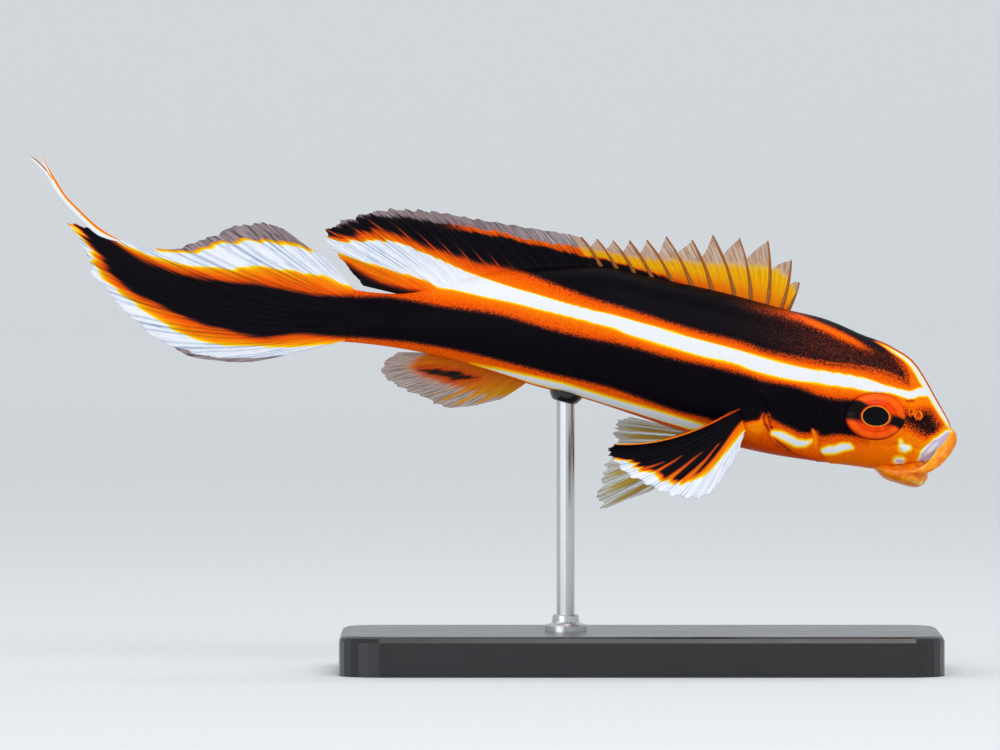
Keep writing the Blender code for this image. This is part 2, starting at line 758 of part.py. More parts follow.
def stand_rod(collection, material):
    """Rod up to the belly, its top cut to the slope of the belly."""
    angle = np.arange(ROD_SIDES) * 2 * math.pi / ROD_SIDES
    x = ROD_X + ROD_RADIUS * np.cos(angle)
    y = ROD_RADIUS * np.sin(angle) + bend(ROD_X) - bend(x)
    low = np.full(ROD_SIDES, BASE_HEIGHT + GAP)
    high = midline_point(x, False, GAP)[:, 2]
    rings = np.array([np.stack((x, y, z), axis=-1) for z in (low, high)])
    made = tube_object("stand_rod", bent(rings), collection, material)
    shade_round(made)
    return made


def head_piece(parts, cutters, material):
    angles = np.arange(BODY_SIDES) * 360.0 / BODY_SIDES
    rear = gill_station(angles) + GILL_CUT_SHIFT
    head = body_length("head", rear, SNOUT_STATION, HEAD_RINGS, parts, material)
    boolean(head, [eye_rim("rim", side, cutters) for side in (LEFT, RIGHT)], "UNION")
    tools = []
    for side in (LEFT, RIGHT):
        tools.append(eye_piece("socket", side, GAP, cutters))
        tools.append(cover_patch("recess", side, GAP, RECESS_LIFT, COVER_DEPTH + GAP, cutters))
        for x, z, radius in NOSTRILS:
            tools.append(nostril_cutter("nostril", side, x, z, radius, cutters))
    tools.append(upper_lip(cutters, None, GAP))
    boolean(head, tools, "DIFFERENCE")
    return head


def build():
    clear_scene()
    parts = new_collection("lessons_sweetlips")
    cutters = new_collection("cutters")

    orange = principled("orange_skin", (0.8, 0.16, 0.01), 0.45)
    black = principled("striped_skin", (0.02, 0.012, 0.02), 0.42)
    amber = principled("amber_lip", (0.7, 0.26, 0.01), 0.4)
    cover = principled("gill_cover_skin", (0.75, 0.2, 0.01), 0.45)
    eye = principled("orange_eye", (0.8, 0.08, 0.0), 0.15)
    spiny = principled("amber_web", (0.75, 0.35, 0.02), 0.5)
    soft = principled("banded_web", (0.1, 0.06, 0.06), 0.5)
    tail = principled("tail_web", (0.6, 0.08, 0.01), 0.5)
    clear = principled("clear_web", (0.6, 0.6, 0.45), 0.5)
    dark = principled("black_web", (0.015, 0.012, 0.02), 0.5)
    slab = principled("satin_black_base", (0.02, 0.02, 0.022), 0.4)
    steel = principled("brushed_steel_rod", (0.6, 0.6, 0.62), 0.3, 1.0)

    head = head_piece(parts, cutters, orange)
    angles = np.arange(BODY_SIDES) * 360.0 / BODY_SIDES
    front = gill_station(angles) - GILL_CUT_SHIFT
    trunk = body_length("trunk", STALK_STATION + CUT_SHIFT, front, TRUNK_RINGS, parts, black)
    stalk = body_length(
        "tail_stalk", TAIL_STATION, STALK_STATION - CUT_SHIFT, STALK_RINGS, parts, black
    )

    lip = upper_lip(parts, amber)
    jaw = lower_jaw(parts, amber)
    seat = body_length("seat", JAW_SEAT_STATION, SNOUT_STATION, HEAD_RINGS, cutters, out=GAP)
    boolean(jaw, [seat, upper_lip(cutters, None, GAP)], "DIFFERENCE")

    covers = []
    eyes = []
    for side, word in ((LEFT, "left"), (RIGHT, "right")):
        covers.append(
            cover_patch("gill_cover_" + word, side, 0.0, COVER_RAISE, COVER_DEPTH, parts, cover)
        )
        eyes.append(eye_piece("eye_" + word, side, 0.0, parts, eye))

    fins = [
        spiny_dorsal(parts, spiny),
        median_fin("dorsal_fin_soft", SOFT_DORSAL, SOFT_DORSAL_RAYS, True, parts, soft),
        median_fin("anal_fin", ANAL, ANAL_RAYS, False, parts, clear),
        caudal_fin(parts, tail),
        paired_fin("pectoral_fin_right", PECTORAL, PECTORAL_RAYS, RIGHT, FIN_ROWS, parts, dark),
        paired_fin("pectoral_fin_left", PECTORAL, PECTORAL_RAYS, LEFT, FIN_ROWS, parts, dark),
        paired_fin("pelvic_fin_right", PELVIC, PELVIC_RAYS, RIGHT, PELVIC_ROWS, parts, clear),
        paired_fin("pelvic_fin_left", PELVIC_FAR, PELVIC_RAYS, LEFT, PELVIC_ROWS, parts, clear),
    ]
    for piece in [head, trunk, stalk, lip, jaw, *covers, *eyes, *fins]:
        shade_round(piece)

    stand_base(parts, slab)
    stand_rod(parts, steel)


build()
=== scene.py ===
"""Looks of the juvenile lessons sweetlips display model: skin, fins, eyes, mouth and stand.

The fish lies along X with its head at +X and its right side facing -Y. Sizes are millimetres
unless a name says otherwise, and MM turns them into metres.
"""

import math

import bmesh
import bpy
import numpy as np
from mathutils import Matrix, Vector


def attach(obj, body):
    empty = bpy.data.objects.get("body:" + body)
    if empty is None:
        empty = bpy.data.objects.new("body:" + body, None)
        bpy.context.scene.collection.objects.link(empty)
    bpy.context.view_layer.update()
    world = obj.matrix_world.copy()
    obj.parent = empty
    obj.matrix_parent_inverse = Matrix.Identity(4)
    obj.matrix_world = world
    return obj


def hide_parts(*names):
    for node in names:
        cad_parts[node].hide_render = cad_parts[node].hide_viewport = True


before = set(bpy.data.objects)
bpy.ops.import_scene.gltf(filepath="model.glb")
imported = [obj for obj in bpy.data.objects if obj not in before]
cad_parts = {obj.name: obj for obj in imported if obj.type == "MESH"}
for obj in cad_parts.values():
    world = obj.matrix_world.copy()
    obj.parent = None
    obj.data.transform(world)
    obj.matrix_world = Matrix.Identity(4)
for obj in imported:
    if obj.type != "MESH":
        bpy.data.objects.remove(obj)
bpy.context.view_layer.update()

MM = 0.001
RIGHT = -1
LEFT = 1

# Body stations from the tail root to the tip of the snout: the midline point of the back (x, z),
# the midline point of the belly (x, z) and the half width
STATIONS = np.array(
    (
        (-29.7, 38.2, -30.6, 32.9, 0.12),
        (-26.5, 37.75, -27.6, 32.65, 1.25),
        (-22.8, 37.75, -23.6, 32.1, 1.55),
        (-19.0, 38.75, -20.1, 31.4, 2.1),
        (-14.0, 39.9, -15.4, 30.05, 2.9),
        (-9.0, 40.3, -10.7, 28.5, 3.5),
        (-3.7, 40.4, -5.7, 27.2, 3.95),
        (1.4, 39.25, -0.8, 25.6, 4.2),
        (7.3, 38.0, 5.0, 23.65, 4.35),
        (14.5, 36.1, 12.7, 21.7, 4.4),
        (18.5, 35.1, 16.8, 21.05, 4.3),
        (22.1, 33.55, 21.0, 20.5, 4.05),
        (25.0, 32.15, 23.7, 20.2, 3.75),
        (27.1, 30.7, 25.4, 20.45, 3.4),
        (28.2, 29.1, 26.7, 20.65, 3.05),
        (29.2, 27.3, 27.8, 20.85, 2.65),
        (30.1, 25.7, 29.0, 21.3, 2.1),
        (30.6, 24.75, 30.2, 22.15, 1.4),
        (30.85, 24.1, 30.75, 23.1, 0.7),
    )
)
KNOTS = (STATIONS[:, 0] + STATIONS[:, 2]) / 2
BODY_SQUARENESS = 2.3
BEND_START_X = 10.0
BEND_LENGTH = 71.0
BEND_SWEEP = 5.0

SKIN_RINGS = 430
SKIN_SIDES = 224

EYE_X = 23.3
EYE_Y = 3.5
EYE_Z = 25.58
EYE_HALF = (3.12, 1.0, 2.42)
EYE_TURN = 8.0

# Edges of the stripes in the side view, as (x, z) from the tail forward
MARGIN_LINE = (
    (-31.4, 44.2), (-29.7, 44.6), (-28.3, 45.1), (-26.5, 45.5), (-24.8, 45.4), (-21.2, 44.9),
    (-17.7, 44.3), (-14.2, 43.75), (-10, 42.8), (-7.2, 42.45), (-4.4, 42.1), (-2.5, 41.95),
)
UPPER_BAND_TOP = (
    (-31.6, 43.9), (-29.7, 44.2), (-28.3, 44.6), (-26.5, 44.9), (-24.8, 44.7), (-21.2, 44.3),
    (-17.7, 43.7), (-14.2, 43.2), (-10, 42.25), (-7.2, 41.6), (-4.4, 41), (-2, 40.9), (5, 40.9),
)
UPPER_BAND_LOW = (
    (-31.4, 43.55), (-29.5, 43.5), (-28.3, 43.7), (-26.5, 44.1), (-24.8, 43.7), (-23.2, 43.3),
    (-21.4, 42.5), (-19.6, 41.9), (-17.9, 41.4), (-16.3, 40.9), (-13.5, 40.3), (-11.4, 39.8),
    (-8, 38.5), (-5, 37.4), (-1.6, 36.4), (4.8, 34.4), (10, 33), (12, 32.2), (14, 31.7), (16, 31.3),
    (18, 30.9), (20, 30.65), (22, 30.4), (24, 30), (25.3, 29.5), (26.5, 28.9),
)
WHITE_TOP = (
    (-31.8, 43.3), (-29.9, 42.9), (-28.3, 42.9), (-25.6, 42.9), (-23.9, 42.55), (-22.1, 41.9),
    (-20.3, 41.2), (-18.4, 40.2), (-15.6, 39.2), (-12.8, 38.3), (-10, 37.5), (-8, 36.9), (-4.4, 35.95),
    (-3, 35.65), (0, 34.8), (3, 33.95), (6, 33.1), (9, 32.25), (12, 31.4), (15, 30.65), (18, 30.05),
    (20, 29.75), (22, 29.35), (24, 28.7), (25, 28.4),
    (26, 28.15), (26.8, 28), (27.6, 28.3),
)
WHITE_LOW = (
    (-31.4, 42.1), (-29.8, 41.6), (-28.3, 41.1), (-26.5, 40.5), (-24.8, 40.05), (-23, 39.5),
    (-21.2, 38.9), (-20.3, 38.35), (-18.5, 38.08), (-15.6, 37.42), (-12.8, 36.86), (-10, 36.16),
    (-7.2, 35.5), (-3, 34.4), (0, 33.3), (6, 31.6), (9, 30.9), (10.5, 30.4), (12, 29.9), (13.5, 29.5),
    (15, 29.2), (16.5, 29.05), (18, 28.8), (19.5, 28.6), (21, 28.4), (22, 28.2), (22.8, 28),
    (24, 27.95), (25, 27.85), (26, 27.5), (26.8, 27.25), (27.6, 27.55),
)
LOWER_BAND_TOP = (
    (-39, 38.3), (-30, 37.3), (-25.6, 37.3), (-22.1, 36.75), (-20.3, 36.4), (-18, 36.1), (-14, 35.5),
    (-8, 33.8), (-1.6, 32.5), (3.2, 31.2), (7.9, 30.2), (10.5, 29.5), (12, 29), (13.5, 28.7),
    (15, 28.45), (16, 28.15), (17.5, 27.6), (19, 27.2), (20.5, 27.1), (23, 26.9),
)
LOWER_BAND_LOW = (
    (-39, 33.4), (-34, 33.7), (-30, 33.4), (-28, 33.3), (-23.2, 32.9), (-18.4, 32.1), (-14, 31.1),
    (-8.9, 29.8), (-3, 28.4), (3.2, 26.2), (6.5, 25.4), (8.5, 24.7), (10, 25), (11, 25.25),
    (11.7, 25.4), (12, 25.9), (12.4, 25.7), (12.7, 25.9), (13.1, 25.4), (14, 24.9), (15, 24.4),
    (16, 24), (17, 23.95), (17.6, 24.1), (17.9, 23.7), (19.5, 23.8), (21.2, 23.65), (23, 23.4),
)
SPINY_BLACK_TOP = ((-6.0, 41.35), (-3.9, 41.05), (0.2, 39.9), (4.3, 38.7))
BELLY_WHITE = (
    (-17, 30.5), (-14, 29.85), (-8, 28.4), (-2.9, 26.8), (2.2, 25.35), (6, 24.35), (9, 23.7),
)
BELLY_WHITE_HALF = (0.02, 0.15, 0.3, 0.38, 0.4, 0.25, 0.02)
UPPER_BAND_FRONT = (
    (26.5, 28.5), (26.6, 29.2), (26.5, 29.9), (26, 30.8), (25.3, 31.6), (24.5, 32.3), (23.6, 33),
)
SNOUT_WHITE_START = 11
SNOUT_WHITE_DEPTH = (0.1, 0.14, 0.2, 0.22, 0.2, 0.12, 0.06, 0.0)
SNOUT_WHITE_HALF = (-0.3, 0.02, 0.1, 0.2, 0.16, 0.16, 0.13, 0.06)
GILL_DASH = (
    (13.15, 24), (13.9, 23.75), (14.7, 23.35), (15.5, 22.95), (16.3, 22.9), (16.9, 23.15),
)
GILL_DASH_HALF = (0.12, 0.26, 0.28, 0.26, 0.2, 0.02)
CHEEK_DASH = (
    (18.15, 22.25), (18.7, 22.3), (19.3, 22.25), (20, 22.45), (20.6, 22.5), (20.95, 22.4),
)
CHEEK_DASH_HALF = (0.16, 0.28, 0.28, 0.32, 0.26, 0.08)
CHEEK_SPOT = (
    (25.8, 23.15), (25.95, 22.5), (26.15, 22.3), (26.6, 22.35),
)
CHEEK_SPOT_HALF = (0.0, 0.2, 0.34, 0.2)
# Thin dark lines of painted shade in the seams at the edges of the gill cover
GILL_SEAM_SHADES = (
    ((12.1, 25.9), (12.3, 24.9), (12.8, 24.1), (13.8, 23), (15, 22.1)),
    ((12.6, 25.8), (12.8, 24.9), (13.1, 24.2)),
    ((13.5, 22.6), (15.5, 21.8), (17.7, 21.15)),
)
GILL_SEAM_SHADE_HALF = 0.03
GILL_RIM = (
    (17.05, 24.2), (17.35, 23.5), (17.4, 22.6),
)
NAPE_GLOW = (
    (4, 38.4), (8, 37.4), (11.1, 36.55), (14.4, 35.85), (16.1, 35.25), (17.5, 34.65), (19, 34),
    (20.25, 33.4), (21.3, 32.9), (22.2, 32.4), (23.4, 31.7),
)
NAPE_GLOW_STRENGTH = (0.0, 0.15, 0.4, 0.7, 0.9, 1.0, 1.0, 1.0, 0.9, 0.65, 0.0)
NAPE_GLOW_WIDTH = (0.5, 0.6, 0.7, 0.65, 0.5, 0.48, 0.46, 0.44, 0.42, 0.36, 0.3)
SNOUT_PATCH = (
    (26.3, 25.35), (27.2, 25.1), (28.2, 24.9), (28.9, 24.3),
)
SNOUT_PATCH_HALF = (0.35, 0.5, 0.9, 0.6)
LIP_WEB = (
    (27.7, 20.5), (28.6, 21.5), (29.7, 22.4), (30.6, 23.5),
)
LIP_WEB_HALF = (0.35, 0.8, 0.95, 0.55)
LIP_STREAK = ((28.2, 21.6), (28.8, 22.1), (29.5, 22.8))
LIP_STREAK_HALF = (0.02, 0.2, 0.08)
LILAC_SPOT = (
    (25.55, 21.05), (26, 21),
)
LILAC_SPOT_HALF = (0.24, 0.2)
THROAT_BROWN = (
    (9.5, 21.9), (12, 22.1), (15, 21.4), (17.5, 21.1),
)
THROAT_BROWN_HALF = (0.7, 0.8, 0.5, 0.15)
KEEL_HALF = ((-24.0, 0.02), (-17.0, 0.1), (-5.0, 0.16), (3.0, 0.34), (9.0, 0.5))
FIN_REAR_DARK = (
    (-29.7, 40.3), (-28.2, 38.9), (-26.2, 37.95), (-23.6, 37.55), (-21.5, 37.4),
)
FIN_REAR_DARK_HALF = (0.25, 0.6, 0.55, 0.3, 0.1)
ANAL_BLOTCH = ((-22.0, 30.05), (-20.4, 29.85), (-18.6, 29.5), (-16.4, 29.3))
ANAL_BLOTCH_HALF = (-0.02, 0.22, 0.34, -0.02)

# Edges of the tail's colours, from the point forward
TAIL_WHITE_OUT = (
    (-55, 44.15), (-54, 43.7), (-53, 43.3), (-51.5, 42.8), (-50, 42.2), (-49, 41.85), (-47.5, 41.7),
    (-46, 41.7), (-44, 41.9), (-42.5, 42.1), (-40.5, 42.5), (-39, 42.7), (-37.8, 42.9), (-37, 42.8),
    (-35.5, 42.5), (-34, 42.1), (-33, 41.75), (-32.2, 41.8), (-31, 41.3), (-29.5, 40.3), (-28.4, 38.9),
)
TAIL_ORANGE_TOP = (
    (-56.2, 44.5), (-55, 44), (-54, 43.5), (-52.8, 43), (-51.5, 42.4), (-50, 41.8), (-48.5, 41.25),
    (-47, 40.8), (-45.5, 40.45), (-44, 40.35), (-42.5, 40.35), (-41, 40.2), (-39.5, 40.3), (-38, 40.2),
    (-36.5, 40.1), (-35, 39.9), (-33.5, 39.8), (-32, 39.6), (-31, 39.2), (-30, 38.7), (-28.8, 38.4),
)
TAIL_BLACK_TOP = (
    (-57.4, 44.8), (-56, 44.45), (-55.2, 44.2), (-54, 43.5), (-52.8, 42.7), (-51.5, 41.8), (-50, 40.9),
    (-48, 40.1), (-46, 39.45), (-44, 39), (-42, 38.7), (-40, 38.6), (-38, 38.4), (-36, 38.1),
    (-34, 37.7), (-32, 37.35), (-30, 37.3), (-26, 37.3),
)
TAIL_BLACK_LOW = (
    (-57.4, 44.65), (-56.2, 44.1), (-55.5, 43.3), (-54.8, 42.4), (-54, 41.4), (-53, 40.1),
    (-52.2, 39.2), (-51, 38.1), (-50, 37.4), (-49, 37), (-47.5, 36.2), (-46, 35.45), (-44.5, 34.85),
    (-43.5, 34.5), (-42, 34.2), (-40, 33.7), (-37.5, 33.3), (-36, 33.5), (-34, 33.7), (-30, 33.4),
    (-26, 33.2),
)
TAIL_ORANGE_LOW = (
    (-57.2, 44.45), (-56.6, 44), (-56, 43.2), (-55.4, 42.25), (-54.6, 40.9), (-54, 39.7), (-53.2, 38.6),
    (-52.2, 37.65), (-51, 36.65), (-49.5, 35.65), (-48, 34.7), (-46.5, 33.95), (-45, 33.3),
    (-43.5, 32.8), (-41.5, 32.45), (-39.5, 32.4), (-38, 32.3), (-36.5, 32.25), (-35, 32.25),
    (-33.5, 32.35), (-32, 32.5), (-29.5, 32.7),
)
TAIL_WHITE_LOW = (
    (-58, 44.5), (-56.2, 43.5), (-55.6, 42.1), (-55.2, 40.3), (-54.4, 39.1), (-53.7, 38.1),
    (-52.5, 36.75), (-51.2, 35.5), (-50, 34.2), (-48.4, 33.1), (-46.8, 32.5), (-45, 31.95),
    (-43.5, 31.6), (-41.5, 31.35), (-39, 31.35), (-36.5, 31.55), (-34, 31.7), (-29.5, 32.1),
)

# Edges of the near pectoral fin's colours, from the tip forward
PECTORAL_BLACK_LOW = (
    (-4.4, 21.9), (-2.5, 21.6), (-0.8, 21.1), (0.8, 20.5), (2.4, 19.8), (3.9, 19.45), (5.3, 19.8),
    (6.5, 20.8), (7.7, 22.2), (8.9, 23.9), (10.1, 25.6),
)
PECTORAL_ORANGE_LOW = (
    (-4, 21.6), (-2.5, 21.4), (-0.9, 20.8), (0.8, 20), (2.4, 19.3), (4, 18.95), (5.4, 19.3),
    (6.7, 20.1), (7.9, 21.4), (8.9, 22.6), (10.1, 24),
)
PECTORAL_STREAKS = (
    ((7.8, 23), (7.15, 22.2), (6.3, 21.2), (5.4, 20.3), (4.3, 19.3)),
    ((6.3, 22.25), (5.3, 21.5), (4.2, 20.6), (3.2, 19.85), (2.5, 19.3)),
    ((4, 21.7), (3, 21.05), (1.95, 20.45), (1.2, 20), (0.7, 19.7)),
    ((2.6, 21.25), (1.5, 20.85), (0.4, 20.5), (-0.2, 20.3), (-0.7, 20.1)),
)
STREAK_HALF = (-0.06, 0.0, 0.05, 0.12, 0.22)

# Eyes: the pupil in mm from the eye's middle, and the dark bars of the iris as their direction
# in degrees and half width in mm
PUPIL_CENTRE = (-0.18, 0.0)
PUPIL_HALF = (1.3, 0.98)
IRIS_WEDGES = ((-18.0, 0.55), (165.0, 1.0))

# Edges of skin plates that stand up a little, as (x, z)
GILL_EDGE = (
    (11.2, 28.2), (12.0, 27.4), (12.7, 26.4), (12.9, 25.2), (12.6, 24.1), (13.3, 22.9), (15.0, 21.9),
    (17.4, 21.2),
)
CHEEK_EDGE = ((17.75, 26.0), (17.65, 24.6), (17.75, 23.2), (18.0, 21.9), (18.9, 20.9))
MAXILLA_EDGE = ((25.3, 22.6), (25.9, 21.9), (26.3, 21.0), (27.0, 20.3))
UNDER_EYE_EDGE = ((24.2, 22.5), (26.2, 22.7), (27.8, 22.1), (29.2, 22.9))
NOSTRILS = ((27.6, 25.6, 0.3), (26.85, 25.95, 0.24))

# Upper lip and lower jaw, as in the solids
LIP_REAR_X = 27.1
LIP_REACH = 4.0
LIP_HALF_WIDTH = 2.45
LIP_REAR_Z = 19.85
LIP_RISE = 3.5
LIP_SWEEP_ANGLE = 96.0
LIP_THICKNESS = 0.42
LIP_FRONT_HEIGHT = 0.95
LIP_SIDE_HEIGHT = 0.5
LIP_END_HEIGHT = 0.75
LIP_SIDE_SLOPE = 42.0
LIP_FRONT_SLOPE = 8.0
LIP_TUCK = 0.45
LIP_STEPS = 150
LIP_SIDES = 36
JAW = np.array(
    (
        (23.3, 20.5, 1.2, 0.35),
        (24.3, 20.05, 2.0, 0.85),
        (25.6, 19.75, 2.15, 1.0),
        (26.8, 19.7, 2.1, 1.3),
        (27.6, 19.75, 1.9, 1.4),
        (28.2, 19.85, 1.5, 1.2),
        (28.6, 19.95, 0.8, 0.8),
    )
)
JAW_CREASE_X = 26.6
LOWER_LIP_X = 26.55
LOWER_LIP_REACH = 1.3
LOWER_LIP_HALF_WIDTH = 1.75
LOWER_LIP_Z = 19.0

# Fins, as in the solids. A guide ray of a middle fin holds its place among the rays, the x of
# its root, its tip (x, z) and its bow
SPINY_ROOTS = (14.5, 13.9, 12.6, 11.05, 9.5, 7.3, 5.3, 3.4, 1.4, -0.35, -2.1, -3.7)
SPINY_TIPS = (
    (15.8, 38.8), (15.0, 41.0), (12.65, 42.95), (9.8, 43.2), (7.15, 43.5), (5.1, 43.0),
    (2.5, 43.35), (0.6, 43.0), (-1.15, 42.95), (-2.8, 42.95), (-4.4, 43.1), (-5.95, 43.3),
)
SPINY_BOW = 0.09
SPINY_WEB = 0.68
SPINE_FOOT = 0.27
SPINE_POINT = 0.08
SPINE_STEPS = 26
SOFT_DORSAL_RAYS = 20
SOFT_DORSAL = (
    (0, -4.6, -7.1, 43.65, 0.06),
    (5, -11.0, -16.2, 45.15, 0.06),
    (9, -15.4, -22.2, 46.1, 0.06),
    (13, -19.0, -28.1, 45.7, 0.05),
    (15, -20.6, -31.5, 44.1, 0.03),
    (16, -21.2, -31.6, 43.0, 0.02),
    (17, -21.7, -30.3, 41.4, 0.0),
    (18, -22.2, -28.9, 39.7, 0.0),
    (19, -22.6, -27.8, 38.45, 0.0),
)
ANAL_RAYS = 11
ANAL = (
    (0, -11.0, -14.1, 27.05, -0.05),
    (1, -11.9, -16.9, 26.4, -0.05),
    (2, -12.8, -19.25, 26.2, -0.04),
    (4, -14.6, -21.9, 27.3, -0.04),
    (6, -16.4, -24.4, 28.3, -0.03),
    (8, -17.8, -26.1, 29.9, 0.0),
    (9, -18.5, -25.6, 31.0, 0.0),
    (10, -19.2, -24.2, 31.8, 0.0),
)
CAUDAL_RAYS = 17
CAUDAL_ROOT_TOP = (-28.6, 38.05)
CAUDAL_ROOT_LOW = (-29.5, 32.95)
CAUDAL = (
    (0, -31.6, 41.3, 0.0),
    (1, -33.8, 42.7, 0.0),
    (2, -35.8, 44.2, 0.02),
    (3, -38.1, 44.85, 0.04),
    (4, -41.0, 44.4, 0.06),
    (5, -44.4, 43.05, 0.08),
    (6, -48.5, 42.15, 0.1),
    (7, -52.2, 43.1, 0.15),
    (8, -54.9, 44.3, 0.18),
    (9, -57.7, 44.9, 0.19),
    (10, -56.2, 42.4, 0.17),
    (11, -55.2, 39.7, 0.14),
    (12, -52.5, 36.5, 0.11),
    (13, -49.2, 33.5, 0.08),
    (14, -45.0, 31.3, 0.05),
    (15, -39.6, 30.75, 0.03),
    (16, -34.5, 31.8, 0.0),
)
THREAD_PATH = (
    (-52.2, 42.9), (-53.4, 43.35), (-54.5, 44.0), (-55.6, 45.0), (-56.8, 46.2), (-57.8, 47.3),
    (-58.75, 48.75), (-59.35, 50.0), (-60.1, 51.65),
)
THREAD_FORK = ((-58.7, 48.6), (-59.5, 49.75), (-60.4, 50.7), (-61.4, 51.45))
# A guide ray of a paired fin holds its place among the rays, the station and the angle of its
# root on the body, its tip (x, z), the tip's distance out and its bow
PECTORAL_RAYS = 15
PECTORAL = (
    (0, 10.1, -26.0, -2.9, 23.0, 4.6, -0.15),
    (1, 10.15, -27.2, -3.5, 22.4, 4.6, -0.135),
    (3, 10.28, -29.7, -2.95, 21.2, 4.5, -0.11),
    (4, 10.35, -31.0, -2.2, 20.4, 4.4, -0.1),
    (6, 10.5, -34.0, 0.2, 18.85, 4.2, -0.07),
    (8, 10.65, -37.0, 2.9, 17.75, 3.9, -0.03),
    (10, 10.8, -40.0, 5.5, 17.4, 3.5, 0.0),
    (12, 10.95, -43.0, 7.6, 18.9, 2.9, 0.0),
    (13, 11.05, -44.5, 8.8, 20.5, 2.3, 0.0),
    (14, 11.1, -46.0, 9.6, 22.3, 1.4, 0.0),
)
PAIRED_ROOT_DEPTH = -0.25
PAIRED_TIP_FROM = 0.72
FAR_PECTORAL_REACH = 0.87
FAR_PECTORAL_DROP = 0.8
PELVIC_RAYS = 6
PELVIC = (
    (0, 9.6, -74.0, 0.5, 17.9, 2.0, -0.03),
    (1, 9.2, -75.0, -4.2, 16.1, 2.3, -0.03),
    (2, 8.9, -76.0, -4.6, 17.6, 2.1, -0.02),
    (3, 8.5, -77.0, -4.4, 19.2, 1.9, 0.0),
    (4, 8.1, -78.0, -3.9, 20.5, 1.6, 0.0),
    (5, 7.7, -79.0, -3.2, 21.3, 1.3, 0.0),
)
PELVIC_FAR = (
    (0, 9.6, -74.0, 1.9, 21.2, 3.0, -0.03),
    (1, 9.2, -75.0, -2.2, 22.4, 3.4, -0.03),
    (2, 8.9, -76.0, -2.9, 23.4, 3.2, -0.02),
    (3, 8.5, -77.0, -2.8, 24.2, 3.0, 0.0),
    (4, 8.1, -78.0, -2.4, 25.0, 2.8, 0.0),
    (5, 7.7, -79.0, -1.2, 25.3, 2.6, 0.0),
)

# Make of the fins: rows of points from root to tip, how far the rays branch, and in mm the
# thickness of each side of the web, the height of a ray and the swelling of the root
SOFT_BUILD = (48, 1.0, 0.05, 0.13, 0.3)
SPINY_BUILD = (44, 0.0, 0.06, 0.05, 0.25)
TAIL_BUILD = (76, 1.0, 0.06, 0.1, 0.38)
PAIRED_BUILD = (46, 1.0, 0.05, 0.12, 0.3)
TIP_THINNESS = 0.3
FLESHY_SHARE = 0.16
RAY_WIDTH = 0.17
WEB_SWAY = 0.16
# Colours shift along the rays by up to this share of their length, in teeth
TEETH = 0.035
TEETH_PER_RAY = 5
NOTCHES_PER_RAY = 8

BASE_HEIGHT = 4.0
ROD_X = -7.5
ROD_RADIUS = 0.9
# Profiles of the socket and the seat, as (radius, height)
SOCKET_PROFILE = (
    (ROD_RADIUS + 0.02, -0.05), (2.1, -0.05), (2.1, 0.5), (1.95, 0.66), (1.5, 0.75), (1.35, 0.9),
    (1.3, 1.5), (1.2, 1.62), (ROD_RADIUS + 0.02, 1.62),
)
SEAT_PROFILE = (
    (0.02, -0.5), (1.05, -0.5), (1.3, -0.36), (1.6, 0.1), (1.72, 0.42), (1.62, 0.5), (1.3, 0.34),
    (0.02, 0.3),
)
TURNED_SIDES = 64

UP = np.array((0.0, 0.0, 1.0))
AHEAD = np.array((1.0, 0.0, 0.0))

# Studio. The paper's front and back edge, its sweep, its top and its half width
FLOOR_FRONT = -2200.0
FLOOR_BACK = 1500.0
SWEEP_RADIUS = 600.0
BACKDROP_TOP = 2400.0
FLOOR_HALF_WIDTH = 2600.0
# Panel lights: place and size in metres, watts, colour, and the place that they face
MODEL_MIDDLE = (-0.014, 0.0, 0.03)
LIGHTS = (
    ("key", (0.12, -0.34, 0.34), (0.3, 0.22), 0.72, "#FFFDF8", MODEL_MIDDLE),
    ("fill", (-0.26, -0.36, 0.06), (0.3, 0.12), 0.3, "#F4F8FF", MODEL_MIDDLE),
    ("top", (-0.02, 0.06, 0.4), (0.4, 0.25), 0.3, "#FFFFFF", MODEL_MIDDLE),
    ("backdrop", (0.0, 0.9, 1.7), (2.0, 0.4), 8.0, "#FFFFFF", (0.0, 2.1, 0.5)),
)
SKY_COLOUR = "#E9EDF2"
SKY_STRENGTH = 0.85
LENS = 400.0
SENSOR = 36.0
VIEW_WIDTH = 99.6
CAMERA_TARGET = (-14.05, -2.0, 29.6)
CAMERA_LIFT = 1.5

# Colour levels run from the lilac of the mouth's folds through white, yellow and orange to
# black, so that every stripe has the same soft fringes. A table row is a path, the height above
# it in mm and the level there
LILAC, WHITE, YELLOW, AMBER, ORANGE, RED, BROWN, BLACK = -1.0, 0.0, 1.0, 1.6, 2.0, 2.4, 3.0, 4.0
NAPE_ORANGE = 2.05
FIN_BLACK = 3.8
BODY_STRIPES = (
    (MARGIN_LINE, 0.1, ORANGE),
    (UPPER_BAND_TOP, 0.22, RED),
    (UPPER_BAND_TOP, -0.06, BLACK),
    (UPPER_BAND_LOW, 0.3, BLACK),
    (UPPER_BAND_LOW, 0.0, BROWN),
    (UPPER_BAND_LOW, -0.3, RED),
    (WHITE_TOP, 0.3, 2.05),
    (WHITE_TOP, 0.06, 1.75),
    (WHITE_TOP, -0.04, WHITE),
    (WHITE_LOW, 0.05, WHITE),
    (WHITE_LOW, -0.06, 1.2),
    (WHITE_LOW, -0.26, 1.85),
    (LOWER_BAND_TOP, 0.3, RED),
    (LOWER_BAND_TOP, 0.0, BROWN),
    (LOWER_BAND_TOP, -0.3, BLACK),
    (LOWER_BAND_LOW, 0.25, BLACK),
    (LOWER_BAND_LOW, 0.0, BROWN),
    (LOWER_BAND_LOW, -0.25, RED),
    (LOWER_BAND_LOW, -1.2, ORANGE),
)
